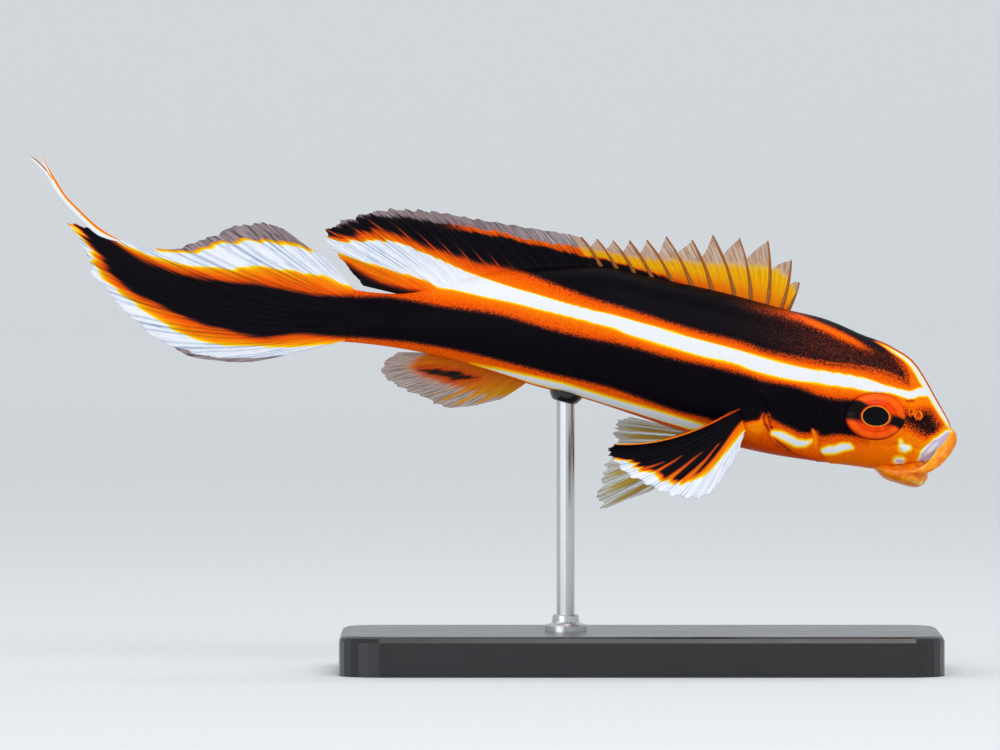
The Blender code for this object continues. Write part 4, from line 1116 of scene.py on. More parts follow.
def wet_scaled_skin():
    """Fish skin with small scales under a film of clear varnish: each scale catches a soft glint
    and stands a little darker or lighter than its neighbours along the edges of the stripes."""
    made, tree, shader = start_finish(
        "varnished_scaled_skin", roughness=0.42, ior=1.45, specular=0.035, coat=0.01, coat_roughness=0.2
    )
    level, speckle, scaly = (
        add(tree, "ShaderNodeAttribute", {"attribute_name": key}).outputs["Fac"]
        for key in ("level", "speckle", "scaly")
    )
    chart = add(tree, "ShaderNodeUVMap", {"uv_map": "chart"})
    where = add(tree, "ShaderNodeTexCoord").outputs["Object"]
    # Dots of pigment shake the level, and grain of about 0.15 mm breaks their rows
    dots = add(
        tree,
        "ShaderNodeTexVoronoi",
        {"Scale": 1 / (PIGMENT_SPACING * MM), "Randomness": 0.8},
        {"Vector": where},
    )
    grain = add(
        tree, "ShaderNodeTexNoise", {"Scale": 6.5 / MM, "Detail": 2.0, "Roughness": 0.6}, {"Vector": where}
    )
    mixed = add(tree, "ShaderNodeMath", {"operation": "SUBTRACT"}, {0: dots, 1: grain})
    wide = add(tree, "ShaderNodeMath", {"operation": "MULTIPLY", 1: 1.6}, {0: mixed})
    shaken = add(tree, "ShaderNodeMath", {"operation": "MULTIPLY"}, {0: wide, 1: speckle})
    final = add(tree, "ShaderNodeMath", {"operation": "ADD"}, {0: level, 1: shaken})
    colour = level_colours(tree, final, "#E8EAEE")
    # Scales are domes in rows that lie across each other
    crossed = add(tree, "ShaderNodeMapping", {"Rotation": (0.0, 0.0, math.pi / 4)}, {"Vector": chart})
    scales = add(
        tree,
        "ShaderNodeTexVoronoi",
        {"voronoi_dimensions": "2D", "Scale": 1 / SCALE_SPACING, "Randomness": 0.55},
        {"Vector": crossed},
    )
    dome = add(tree, "ShaderNodeMath", {"operation": "MULTIPLY"}, {0: scales, 1: scaly})
    settings = {"noise_dimensions": "2D", "Scale": 9.0, "Detail": 2.0}
    fine = add(tree, "ShaderNodeTexNoise", settings, {"Vector": chart})
    faint = add(tree, "ShaderNodeMath", {"operation": "MULTIPLY", 1: -0.25}, {0: fine})
    relief = add(tree, "ShaderNodeMath", {"operation": "ADD"}, {0: dome, 1: faint})
    settings = {"Strength": 0.35, "Distance": 0.06 * MM, "invert": True}
    bump = add(tree, "ShaderNodeBump", settings, {"Height": relief})
    feed(shader, {"Base Color": colour, "Normal": bump})
    return made


def rayed_web(name, white, crease_shade_and_line_colour, margin_shades, ray_colour, ray_strength, tone):
    """Thin fin web under clear varnish: streaked along the rays, with grey shade painted in the creases
    between them and fine lines between some streaks, and a see-through margin in two shades. The tone
    tints every level colour."""
    made, tree, shader = start_finish(
        name, roughness=0.45, ior=1.45, specular=0.05, coat=0.015, coat_roughness=0.25
    )
    level, speckle, clear, ray, margin, crease = (
        add(tree, "ShaderNodeAttribute", {"attribute_name": key}).outputs["Fac"]
        for key in ("level", "speckle", "clear", "ray", "margin", "crease")
    )
    chart = add(tree, "ShaderNodeUVMap", {"uv_map": "chart"})
    # The chart runs in rays across and in mm along, so streaks follow the rays
    drawn = add(
        tree,
        "ShaderNodeMapping",
        {"Scale": (STREAKS_PER_RAY, STREAKS_PER_MM, 1.0)},
        {"Vector": chart},
    )
    streak = add(
        tree,
        "ShaderNodeTexNoise",
        {"noise_dimensions": "2D", "Scale": 1.0, "Detail": 3.0, "Roughness": 0.65},
        {"Vector": drawn},
    )
    wide = add(tree, "ShaderNodeMath", {"operation": "MULTIPLY_ADD", 1: 2.4, 2: -1.2}, {0: streak})
    shaken = add(tree, "ShaderNodeMath", {"operation": "MULTIPLY"}, {0: wide, 1: speckle})
    final = add(tree, "ShaderNodeMath", {"operation": "ADD"}, {0: level, 1: shaken})
    toned = add(
        tree,
        "ShaderNodeMix",
        {"data_type": "RGBA", "blend_type": "MULTIPLY", 0: 1.0, 7: linear(tone)},
        {6: level_colours(tree, final, white)},
    )
    # Painted shade darkens the creases, and fine lines lie between some streaks
    settings = {"From Min": 0.36, "From Max": 0.44, "To Min": 0.4, "To Max": 0.0}
    line = add(tree, "ShaderNodeMapRange", settings, {"Value": streak})
    settings = {"operation": "MULTIPLY_ADD", 1: 0.75, "use_clamp": True}
    # The crease value picks where the painted shade falls
    sink = add(tree, "ShaderNodeMath", settings, {0: crease, 2: line})
    settings = {"data_type": "RGBA", "blend_type": "MULTIPLY", 7: linear(crease_shade_and_line_colour)}
    crease_shaded_and_lined = add(tree, "ShaderNodeMix", settings, {0: sink, 6: toned})
    # The margin starts in teeth along the streaks
    shade = add(tree, "ShaderNodeMapRange", {"From Min": 0.4, "From Max": 0.6}, {"Value": streak})
    settings = {"data_type": "RGBA", 6: linear(margin_shades[0]), 7: linear(margin_shades[1])}
    edge = add(tree, "ShaderNodeMix", settings, {0: shade})
    toothed = add(tree, "ShaderNodeMath", {"operation": "MULTIPLY_ADD", 1: 1.2}, {0: streak, 2: margin})
    reached = add(tree, "ShaderNodeMapRange", {"From Min": 1.0, "From Max": 1.3}, {"Value": toothed})
    rimmed = add(tree, "ShaderNodeMix", {"data_type": "RGBA"}, {0: reached, 6: crease_shaded_and_lined, 7: edge})
    rib = add(tree, "ShaderNodeMath", {"operation": "MULTIPLY", 1: ray_strength}, {0: ray})
    ribbed = add(
        tree, "ShaderNodeMix", {"data_type": "RGBA", 7: linear(ray_colour)}, {0: rib, 6: rimmed}
    )
    # The web is clearer between the rays
    open_share = add(tree, "ShaderNodeMath", {"operation": "MULTIPLY_ADD", 1: -0.6, 2: 1.0}, {0: ray})
    hole = add(tree, "ShaderNodeMath", {"operation": "MULTIPLY"}, {0: clear, 1: open_share})
    solid = add(tree, "ShaderNodeMath", {"operation": "SUBTRACT", 0: 1.0}, {1: hole})
    # Joints cross the rays, 0.35 mm apart
    settings = {"wave_type": "BANDS", "bands_direction": "Y", "Scale": 0.9, "Distortion": 0.6}
    joints = add(tree, "ShaderNodeTexWave", settings, {"Vector": chart}).outputs["Fac"]
    relief = add(tree, "ShaderNodeMath", {"operation": "MULTIPLY_ADD"}, {0: joints, 1: ray, 2: streak})
    settings = {"Strength": 0.3, "Distance": 0.05 * MM}
    bump = add(tree, "ShaderNodeBump", settings, {"Height": relief})
    feed(shader, {"Base Color": ribbed, "Alpha": solid, "Normal": bump})
    return made


def moist_lip():
    """Lip and throat skin, cast thick and varnished: amber with paler and browner clouds."""
    made, tree, shader = start_finish(
        "varnished_amber_lip",
        roughness=0.35,
        ior=1.45,
        specular=0.2,
        coat=0.2,
        coat_roughness=0.12,
        subsurface=0.15,
        subsurface_scale=0.6 * MM,
        subsurface_radius=(1.0, 0.45, 0.15),
    )
    level = add(tree, "ShaderNodeAttribute", {"attribute_name": "level"}).outputs["Fac"]
    where = add(tree, "ShaderNodeTexCoord").outputs["Object"]
    # Clouds are about 0.7 mm across
    settings = {"Scale": 1.4 / MM, "Detail": 3.0, "Roughness": 0.55}
    cloud = add(tree, "ShaderNodeTexNoise", settings, {"Vector": where})
    centred = add(tree, "ShaderNodeMath", {"operation": "SUBTRACT", 1: 0.5}, {0: cloud})
    final = add(tree, "ShaderNodeMath", {"operation": "ADD"}, {0: level, 1: centred})
    colour = add(tree, "ShaderNodeValToRGB", {"shades": LIP_SHADES}, {"Fac": final})
    # Wrinkles are about 0.2 mm across
    fine = add(tree, "ShaderNodeTexNoise", {"Scale": 5.2 / MM, "Detail": 2.0}, {"Vector": where})
    settings = {"Strength": 0.25, "Distance": 0.05 * MM}
    bump = add(tree, "ShaderNodeBump", settings, {"Height": fine})
    feed(shader, {"Base Color": colour, "Normal": bump})
    return made


def horn_spine():
    """Fin spines, cast solid and stained: amber with browner flecks under a satin varnish."""
    made, tree, shader = start_finish(
        "stained_amber_spine", roughness=0.35, ior=1.45, specular=0.3, coat=0.2, coat_roughness=0.15
    )
    where = add(tree, "ShaderNodeTexCoord").outputs["Object"]
    # Flecks are about 0.12 mm across
    settings = {"Scale": 8.0 / MM, "Detail": 2.0, "Roughness": 0.6}
    fleck = add(tree, "ShaderNodeTexNoise", settings, {"Vector": where})
    shades = ((0.3, "#6E3606"), (0.7, "#B86A12"))
    colour = add(tree, "ShaderNodeValToRGB", {"shades": shades}, {"Fac": fleck})
    settings = {"Strength": 0.2, "Distance": 0.03 * MM}
    bump = add(tree, "ShaderNodeBump", settings, {"Height": fleck})
    feed(shader, {"Base Color": colour, "Normal": bump})
    return made


def glass_eye():
    """Painted iris under a clear lacquered lens: a black pupil in a fine gold ring, a red-orange
    iris with dark wedges, and a sharp highlight."""
    made, tree, shader = start_finish(
        "lacquered_eye", roughness=0.35, ior=1.45, specular=0.05, coat=0.07, coat_roughness=0.03
    )
    iris, wedge = (
        add(tree, "ShaderNodeAttribute", {"attribute_name": key}).outputs["Fac"]
        for key in ("iris", "wedge")
    )
    chart = add(tree, "ShaderNodeUVMap", {"uv_map": "chart"})
    # Fibres run outward from the pupil
    drawn = add(tree, "ShaderNodeMapping", {"Scale": (22.0, 1.6, 1.0)}, {"Vector": chart})
    settings = {"noise_dimensions": "2D", "Scale": 1.0, "Detail": 3.0, "Roughness": 0.6}
    fibre = add(tree, "ShaderNodeTexNoise", settings, {"Vector": drawn})
    centred = add(tree, "ShaderNodeMath", {"operation": "SUBTRACT", 1: 0.5}, {0: fibre})
    glow = add(tree, "ShaderNodeMath", {"operation": "MULTIPLY_ADD", 1: 0.6, 2: 1.0}, {0: centred})
    place = add(tree, "ShaderNodeMath", {"operation": "MULTIPLY", 1: 0.5}, {0: iris})
    painted = add(tree, "ShaderNodeValToRGB", {"shades": IRIS_SHADES}, {"Fac": place})
    toned = add(tree, "ShaderNodeHueSaturation", {}, {"Color": painted, "Value": glow})
    settings = {"data_type": "RGBA", 7: linear("#0C0508")}
    colour = add(tree, "ShaderNodeMix", settings, {0: wedge, 6: toned})
    settings = {"Strength": 0.15, "Distance": 0.04 * MM}
    bump = add(tree, "ShaderNodeBump", settings, {"Height": fibre})
    feed(shader, {"Base Color": colour, "Normal": bump})
    return made


def cast_acrylic():
    """Black cast acrylic, flame polished and handled: deep black with a soft even gloss and faint
    wipe marks."""
    made, tree, shader = start_finish("black_cast_acrylic", ior=1.49, coat=0.1, coat_roughness=0.1)
    where = add(tree, "ShaderNodeTexCoord").outputs["Object"]
    # Wipe marks are some 5 mm long and 1 mm wide
    settings = {"Scale": (0.06 / MM, 0.42 / MM, 0.06 / MM)}
    drawn = add(tree, "ShaderNodeMapping", settings, {"Vector": where})
    wipe = add(tree, "ShaderNodeTexNoise", {"Scale": 3.0, "Detail": 4.0}, {"Vector": drawn})
    settings = {"From Min": 0.3, "From Max": 0.7, "To Min": 0.2, "To Max": 0.32}
    gloss = add(tree, "ShaderNodeMapRange", settings, {"Value": wipe})
    shades = ((0.0, "#0F1012"), (1.0, "#1A1B1E"))
    tint = add(tree, "ShaderNodeValToRGB", {"shades": shades}, {"Fac": wipe})
    feed(shader, {"Roughness": gloss, "Base Color": tint})
    return made


def drawn_steel():
    """Stainless steel rod, drawn and brushed: long fine lines and a soft bright streak."""
    made, tree, shader = start_finish("brushed_stainless_rod", metallic=1.0)
    where = add(tree, "ShaderNodeTexCoord").outputs["Object"]
    # Brush lines are about 0.1 mm wide and some 8 mm long
    settings = {"Scale": (9.0 / MM, 9.0 / MM, 0.12 / MM)}
    drawn = add(tree, "ShaderNodeMapping", settings, {"Vector": where})
    lines = add(tree, "ShaderNodeTexNoise", {"Scale": 1.0, "Detail": 2.0}, {"Vector": drawn})
    settings = {"From Min": 0.3, "From Max": 0.7, "To Min": 0.22, "To Max": 0.38}
    gloss = add(tree, "ShaderNodeMapRange", settings, {"Value": lines})
    shades = ((0.0, "#B9BABC"), (1.0, "#D8D9DA"))
    tint = add(tree, "ShaderNodeValToRGB", {"shades": shades}, {"Fac": lines})
    settings = {"Strength": 0.2, "Distance": 0.01 * MM}
    bump = add(tree, "ShaderNodeBump", settings, {"Height": lines})
    feed(shader, {"Roughness": gloss, "Base Color": tint, "Normal": bump})
    return made


def studio_paper():
    """Matt paper sweep behind and under the model: pale and even, with a faint tooth."""
    made, tree, shader = start_finish("matt_studio_paper", roughness=0.9)
    where = add(tree, "ShaderNodeTexCoord").outputs["Object"]
    # The tooth is drawn about 1 mm across, coarser than real, so that it shows
    tooth = add(tree, "ShaderNodeTexNoise", {"Scale": 0.9 / MM, "Detail": 3.0}, {"Vector": where})
    shades = ((0.0, "#DADCDD"), (1.0, "#E2E4E5"))
    tint = add(tree, "ShaderNodeValToRGB", {"shades": shades}, {"Fac": tooth})
    feed(shader, {"Base Color": tint})
    return made


def rows_at(guides, place):
    """Values of the guide rays at each column of a fin."""
    guides = np.array(guides)
    return through(guides[:, 0], guides[:, 1:], place)


def columns_of(rays, each):
    """Places of a fin's columns, with so many between one ray and the next."""
    return np.linspace(0.0, rays - 1, (rays - 1) * each + 1)


def on_midline(x, z):
    """Points of the fish's middle plane."""
    return np.stack((x, np.zeros_like(x), z), axis=-1)


def on_ray(place, wide, narrow):
    """1 on a ray and 0 away from it, between two distances in ray spacings."""
    return rise(wide, narrow, np.abs(place - np.round(place)))


def even(along, strength):
    """Streaks of one strength over a whole fin."""
    return np.full(np.shape(along), strength)


def dorsal_look(x, z, place, along):
    """The body's bands run on over the soft dorsal fin, up to a ragged see-through margin."""
    level = striped(x, z, BODY_STRIPES)
    rear = rise(-16.0, -22.0, x) * rise(-0.1, 0.1, above(x, z, UPPER_BAND_TOP))
    level = level + (FIN_BLACK - level) * rear
    level = paint(level, x, z, FIN_REAR_DARK, FIN_REAR_DARK_HALF, FIN_BLACK, BROWN, 0.4)
    soft = 0.25 + 0.5 * rise(-18.0, -25.0, x)
    margin = rise(-soft, soft, above(x, z, MARGIN_LINE) - 0.05)
    over = above(x, z, UPPER_BAND_LOW)
    # Orange rays cut into the foot of the black
    line = on_ray(place, 0.12, 0.03) * rise(-10.0, -15.0, x)
    line = line * rise(1.5, 0.2, over) * rise(-0.2, 0.1, over)
    level = level - np.clip(level - RED, 0.0, None) * line
    speckle = np.interp(level, STREAK_LEVELS, (0.3, 0.3, 0.15, 0.6, 0.9, 0.6)) * rise(0.0, 0.2, along)
    clear = (0.42 + 0.2 * rise(-14.0, -7.0, x)) * margin
    return level, clear, speckle, margin


def spiny_look(x, z, place, along):
    """Orange at the foot, then amber and yellow, under a clear edge. Black climbs in at the rear."""
    front = np.interp(along, (0.0, 0.1, 0.3, 0.6), (2.3, 1.8, 1.4, 1.1))
    rear = np.interp(along, (0.0, 0.1, 0.22, 0.4), (3.3, 2.1, 1.7, 1.25))
    level = front + (rear - front) * rise(3.5, 6.0, place)
    dark = rise(0.3, -0.2, above(x, z, SPINY_BLACK_TOP)) * rise(5.0, 1.0, x)
    level = level + (BLACK - level) * dark
    top = np.interp(place, (0.0, 4.0, 6.5, 8.0, 10.0, 12.0), (0.62, 0.52, 0.52, 0.54, 0.58, 0.59))
    margin = rise(-0.12, 0.2, along - top)
    return level, 0.04 + 0.4 * margin, even(along, 0.5), margin


def anal_look(x, z, place, along):
    """Amber with a dark blotch and a clear edge, which the front rays cross as yellow stripes."""
    front = np.interp(along, (0.0, 0.5, 1.0), (1.7, 1.3, 1.1))
    rear = np.interp(along, (0.0, 0.4, 0.8), (1.85, 1.75, 1.6))
    level = front + (rear - front) * rise(1.0, 4.0, place)
    level = paint(level, x, z, ANAL_BLOTCH, ANAL_BLOTCH_HALF, BLACK, 2.2, 0.5)
    top = np.interp(place, (0.0, 2.0, 5.0, 8.0, 10.0), (0.75, 0.52, 0.6, 0.66, 0.4))
    margin = rise(-0.2, 0.2, along - top)
    stripe = on_ray(place, 0.3, 0.08) * rise(5.0, 2.5, place)
    level = level + (1.25 - level) * stripe * rise(0.35, 0.6, along)
    margin = margin * (1 - 0.8 * stripe * rise(1.0, 0.8, along))
    return level, 0.08 + 0.4 * margin, even(along, 0.5), margin


def tail_look(x, z, place, along):
    """Bands along the tail fin, with see-through edges ahead of its point."""
    level = striped(x, z, TAIL_STRIPES)
    upper = rise(0.15, 0.55, above(x, z, TAIL_WHITE_OUT))
    lower = rise(0.0, -0.35, above(x, z, TAIL_WHITE_LOW))
    margin = np.maximum(upper, lower) * rise(-50.5, -48.5, x)
    speckle = np.interp(level, STREAK_LEVELS, (0.4, 0.3, 0.1, 0.5, 0.8, 0.6))
    return level, 0.4 * margin, speckle, margin


def pectoral_look(x, z, place, along):
    """Black blade with orange streaks, an orange front edge and a white border."""
    level = striped(x, z, PECTORAL_STRIPES)
    for path in PECTORAL_STREAKS:
        level = np.minimum(level, paint(level, x, z, path, STREAK_HALF, 1.9, 2.6, 0.16))
    level = np.where(place < 0.12, np.minimum(level, RED - 0.9 * along), level)
    margin = rise(0.95, 1.0, along) * rise(3.0, 1.5, place)
    speckle = np.interp(level, (0, 1, 2, 4), (0.08, 0.4, 0.8, 0.4))
    return level, 0.4 * margin, speckle, margin


def pelvic_look(x, z, place, along):
    """Clear fin whose first rays are olive."""
    stripe = on_ray(place, 0.4, 0.12) * rise(1.1, 0.65, along) * rise(4.6, 3.4, place)
    margin = rise(0.0, 0.25, along) * (1 - stripe)
    return 0.3 + 0.8 * stripe, 0.2 + 0.5 * margin, even(along, 0.35), 0.9 * margin


def median_fin(node, guides, rays, upper, look, material, seed):
    """Soft fin of the back or the belly."""
    place = columns_of(rays, 12)
    row = rows_at(guides, place)
    root = midline_point(row[:, 0], upper, -0.55)
    tip = on_midline(row[:, 1], row[:, 2])
    length = ragged_lengths(place, 0.03, 0.03, seed)
    path = (root, tip, row[:, 3], UP)
    return fin_piece(node, place, length, path, look, SOFT_BUILD, material)


def spiny_fin(material):
    """Web of the front dorsal fin. It leaves each spine near its tip and meets the next lower."""
    place, length = [], []
    for spine in range(len(SPINY_ROOTS)):
        share = np.linspace(0.01, 0.99, 14)
        place.extend(spine + share)
        last = spine == len(SPINY_ROOTS) - 1
        low = 0.98 if last else np.interp(spine, (0, 1, 2), (0.5, 0.55, SPINY_WEB))
        length.extend(0.99 - (0.99 - low) * share)
    place, length = np.array(place), np.array(length)
    roots = np.append(SPINY_ROOTS, SOFT_DORSAL[0][1])
    tips = np.vstack((SPINY_TIPS, SOFT_DORSAL[0][2:4]))
    row = through(np.arange(len(roots)), np.column_stack((roots, tips)), place)
    root = midline_point(row[:, 0], True, -0.45)
    # Behind the last spine the bow turns into that of the soft fin's first ray
    bow = SPINY_BOW * rise(12.2, 11.0, place) - 0.03 * rise(11.0, 12.0, place)
    path = (root, on_midline(row[:, 1], row[:, 2]), bow, AHEAD)
    return fin_piece(
        "dorsal_fin_spiny", place, length, path, spiny_look, SPINY_BUILD, material
    )


def dorsal_spines(material):
    """Tapered spines in the edge of each web, from their roots in the back to their tips."""
    share = np.linspace(0.0, 1.0, SPINE_STEPS)
    points, edges = [], []
    for root_x, (tip_x, tip_z) in zip(SPINY_ROOTS, SPINY_TIPS):
        root = midline_point(np.array(root_x), True, -0.5)
        tip = np.array((tip_x, 0.0, tip_z))
        start = len(points)
        points.extend(bent(ray_arc(root[None], tip[None], SPINY_BOW, AHEAD, share[:, None])))
        edges.extend((start + i, start + i + 1) for i in range(SPINE_STEPS - 1))
    thick = (SPINE_FOOT + (SPINE_POINT - SPINE_FOOT) * share**0.8) * MM
    thickness = {"thickness": np.tile(thick, len(SPINY_ROOTS))}
    piece = mesh_piece("dorsal_spines", points, [], material, thickness, edges=edges)
    grow(piece, SPINES, Sides=12, Finish=material)
    return settle(piece, ())


def tail_fin(material):
    """Tail fin, drawn out to a point."""
    place = columns_of(CAUDAL_RAYS, 18)
    row = rows_at(CAUDAL, place)
    share = place[:, None] / (CAUDAL_RAYS - 1)
    top, low = np.array(CAUDAL_ROOT_TOP), np.array(CAUDAL_ROOT_LOW)
    start = top + (low - top) * share
    length = ragged_lengths(place, 0.012, 0.028, 5)
    path = (on_midline(start[:, 0], start[:, 1]), on_midline(row[:, 0], row[:, 1]), row[:, 2], -UP)
    return fin_piece(
        "caudal_fin", place, length, path, tail_look, TAIL_BUILD, material
    )


def tail_thread(material):
    """Flat thread at the tail's point with its short fork: white behind, orange in front."""
    spin = np.linspace(0, 2 * math.pi, 24, endpoint=False)[None, :]
    for name, path, width, levels in (
        ("caudal_thread", THREAD_PATH, 0.36, (2.2, 1.8, WHITE)),
        ("caudal_thread_fork", THREAD_FORK, 0.2, (3.6, 1.9, WHITE)),
    ):
        path = np.array(path)
        place = np.linspace(0, len(path) - 1, 10 * len(path))
        line = through(np.arange(len(path)), path, place)
        run = unit(np.gradient(line, axis=0))
        share = (place / place[-1])[:, None]
        half = width * np.interp(share, (0.0, 0.2, 0.6, 0.75, 1.0), (0.3, 1.0, 0.75, 0.85, 0.1))
        aside = half * np.cos(spin)
        depth = 0.12 * np.sin(spin) * (1 - 0.5 * share) * rise(0.0, 0.12, share)
        x = line[:, :1] - run[:, 1:] * aside
        z = line[:, 1:] + run[:, :1] * aside
        level = np.interp(np.cos(spin), (-1.0, -0.4, -0.15), levels)
        values = {"level": level, "speckle": 0.1, "ray": 1.0, "clear": 0.0, "margin": 0.0}
        piece = tube_piece(name, bent(np.stack((x, depth, z), axis=-1)), material, values)
        settle(piece, ())


def paired_fin(node, guides, rays, side, look, slot, material, seed, ragged, reach=1.0, drop=0.0):
    """Fin of a pair. The reach shortens its rays and the drop lowers their tips."""
    place = columns_of(rays, 14)
    row = rows_at(guides, place)
    skin = body_point(row[:, 0], row[:, 1], PAIRED_TIP_FROM)
    root = body_point(row[:, 0], row[:, 1], PAIRED_ROOT_DEPTH)
    tip = np.stack((row[:, 2], skin[:, 1] + row[:, 4], row[:, 3] - drop), axis=-1)
    root[:, 1] *= side
    tip[:, 1] *= side
    length = reach * ragged_lengths(place, 0.025, ragged, seed)
    path = (root, tip, row[:, 5], UP)
    return fin_piece(node, place, length, path, look, PAIRED_BUILD, material)


def lip_piece(material):
    """Band of the upper lip round the snout, with faint folds. Its ends tuck into the cheeks."""
    turn = np.radians(np.linspace(-LIP_SWEEP_ANGLE, LIP_SWEEP_ANGLE, LIP_STEPS + 1))[:, None]
    spin = np.linspace(0, 2 * math.pi, LIP_SIDES, endpoint=False)[None, :]
    frontness = np.clip(np.cos(turn), 0.0, 1.0) ** 3
    rearness = 1 - np.clip(np.cos(turn) * 2.2, 0.0, 1.0)
    height = LIP_SIDE_HEIGHT + (LIP_FRONT_HEIGHT - LIP_SIDE_HEIGHT) * frontness
    height = height + (LIP_END_HEIGHT - LIP_SIDE_HEIGHT) * rearness
    step = np.arange(LIP_STEPS + 1)[:, None]
    from_end = np.minimum(step, LIP_STEPS - step)
    rounding = 0.3 + 0.7 * rise(0.0, 34.0, from_end)
    slope = np.radians(LIP_SIDE_SLOPE * (1 - frontness) + LIP_FRONT_SLOPE * frontness)
    fold = 1 + 0.05 * np.cos(3 * spin) + 0.015 * np.sin(37 * turn)
    thick = LIP_THICKNESS * rounding * np.cos(spin) * fold
    out = thick - LIP_TUCK * rise(26.0, 0.0, from_end)
    tall = height * rounding * np.sin(spin) * fold
    rings = (
        LIP_REAR_X + (LIP_REACH + out) * np.cos(turn) - tall * np.sin(slope),
        (LIP_HALF_WIDTH + out) * np.sin(turn),
        LIP_REAR_Z + LIP_RISE * np.cos(turn) * np.abs(np.cos(turn)) + tall * np.cos(slope),
    )
    level = 0.42 - 0.28 * np.clip(np.sin(spin), 0, 1) ** 2 + 0.12 * np.cos(spin)
    piece = tube_piece("upper_lip_fold", bent(np.stack(rings, axis=-1)), material, {"level": level})
    return settle(piece, ("upper_lip",))


def jaw_piece(material):
    """Lower jaw and throat, with a crease at the joint of the jaw."""
    line = through(np.arange(len(JAW)), JAW, np.linspace(0, len(JAW) - 1, 90))
    x, z, half_width, half_height = (column[:, None] for column in line.T)
    spin = np.linspace(0, 2 * math.pi, 64, endpoint=False)[None, :]
    sink = 0.06 * np.exp(-(((x - JAW_CREASE_X) / 0.25) ** 2)) * np.abs(np.cos(spin))
    across = np.cos(spin) * (half_width - sink)
    up = z + np.sin(spin) * (half_height - sink)
    rings = np.stack(np.broadcast_arrays(x, across, up), axis=-1)
    level = 0.6 + 0.06 * np.sin(spin) - 0.08 * rise(26.5, 28.3, x)
    piece = tube_piece("lower_jaw_skin", bent(rings), material, {"level": level})
    return settle(piece, ("lower_jaw",))


def lower_lip(material):
    """Rounded lip that runs round the front of the lower jaw."""
    turn = np.radians(np.linspace(-100.0, 100.0, 91))[:, None]
    spin = np.linspace(0, 2 * math.pi, 28, endpoint=False)[None, :]
    step = np.arange(len(turn))[:, None]
    end = np.minimum(1.0, np.minimum(step, len(turn) - 1 - step) / 10)
    size = (0.2 + 0.8 * np.sqrt(end)) * (0.42 + 0.14 * np.clip(np.cos(turn), 0.0, None) ** 2)
    out = size * np.cos(spin)
    rings = (
        LOWER_LIP_X + (LOWER_LIP_REACH + out) * np.cos(turn),
        (LOWER_LIP_HALF_WIDTH + out) * np.sin(turn),
        LOWER_LIP_Z + 0.35 * np.sin(turn) ** 2 + 0.95 * size * np.sin(spin),
    )
    level = 0.3 + 0.12 * np.cos(spin) - 0.2 * np.clip(-np.sin(spin), 0, 1) ** 3
    piece = tube_piece("lower_lip_fold", bent(np.stack(rings, axis=-1)), material, {"level": level})
    return settle(piece, ())


def eye_piece(name, side, material):
    """Eyeball: a lens over the iris in front, its back sunk in the head."""
    falls = np.linspace(0.02, math.pi - 0.02, 90)
    spins = np.linspace(0, 2 * math.pi, 144, endpoint=False)
    fall, spin = np.meshgrid(falls, spins, indexing="ij")
    radius = np.sin(fall)
    x = EYE_HALF[0] * radius * np.cos(spin)
    y = EYE_HALF[1] * np.cos(fall) * side
    z = EYE_HALF[2] * radius * np.sin(spin)
    # The iris value is 0 in the pupil's middle, 1 at its edge and 2 at the rim of the eye
    off_x, off_z = x - PUPIL_CENTRE[0], z - PUPIL_CENTRE[1]
    reach = 1 + 0.12 * np.clip(np.cos(np.arctan2(off_z, off_x) + 0.5), 0, 1) ** 4
    pupil = np.hypot(off_x / PUPIL_HALF[0], off_z / PUPIL_HALF[1]) / reach
    rim = pupil / np.maximum(radius, 1e-3)
    iris = np.where(pupil < 1, pupil, 1 + (pupil - 1) / np.maximum(rim - 1, 1e-3))
    iris = np.where(fall < math.pi / 2, np.clip(iris, 0, 2), 2.0)
    wedge = np.zeros_like(x)
    for degrees, half in IRIS_WEDGES:
        run = (math.cos(math.radians(degrees)), math.sin(math.radians(degrees)))
        off = np.abs(x * run[1] - z * run[0]) + 0.1 * np.sin(7 * radius + 5 * spin)
        bar = rise(half + 0.2, half - 0.2, off)
        wedge = np.maximum(wedge, np.where(x * run[0] + z * run[1] > 0, bar, 0.0))
    wedge = wedge * rise(1.04, 1.16, iris)
    turn = math.radians(-EYE_TURN * side)
    cosine, sine = math.cos(turn), math.sin(turn)
    rings = (x * cosine - y * sine + EYE_X, x * sine + y * cosine + EYE_Y * side, z + EYE_Z)
    uv = np.stack((spin / (2 * math.pi), radius), axis=-1)
    values = {"iris": iris, "wedge": wedge}
    piece = tube_piece(name + "_ball", bent(np.stack(rings, axis=-1)), material, values, uv)
    return settle(piece, (name,))


def turned_piece(name, profile, centre, axis, material):
    """Ring turned from a closed profile of (radius, height) points about an axis."""
    axis = Vector(axis).normalized()
    first = axis.orthogonal().normalized()
    second = axis.cross(first)
    points, faces = [], []
    around = len(profile)
    for step in range(TURNED_SIDES):
        angle = 2 * math.pi * step / TURNED_SIDES
        out = first * math.cos(angle) + second * math.sin(angle)
        for radius, height in profile:
            points.append(np.array(centre) + np.array(out * radius + axis * height))
        here, after = step * around, ((step + 1) % TURNED_SIDES) * around
        for corner in range(around):
            following = (corner + 1) % around
            faces.append((here + corner, here + following, after + following, after + corner))
    piece = settle(mesh_piece(name, points, faces, material), ())
    piece.data.set_sharp_from_angle(angle=math.radians(35.0))
    return piece


def stand_fittings(steel, pad):
    """Socket round the rod's foot and the soft seat under the belly."""
    foot = bent(np.array((ROD_X, 0.0, BASE_HEIGHT)))
    turned_piece("stand_socket", SOCKET_PROFILE, foot, (0, 0, 1), steel)
    seat = bent(midline_point(np.array(ROD_X), False, 0.35))
    rear, front = (midline_point(np.array(ROD_X + off), False, 0.0) for off in (-1, 1))
    slope = front - rear
    turned_piece("stand_seat", SEAT_PROFILE, seat, (-slope[2], 0.0, slope[0]), pad)


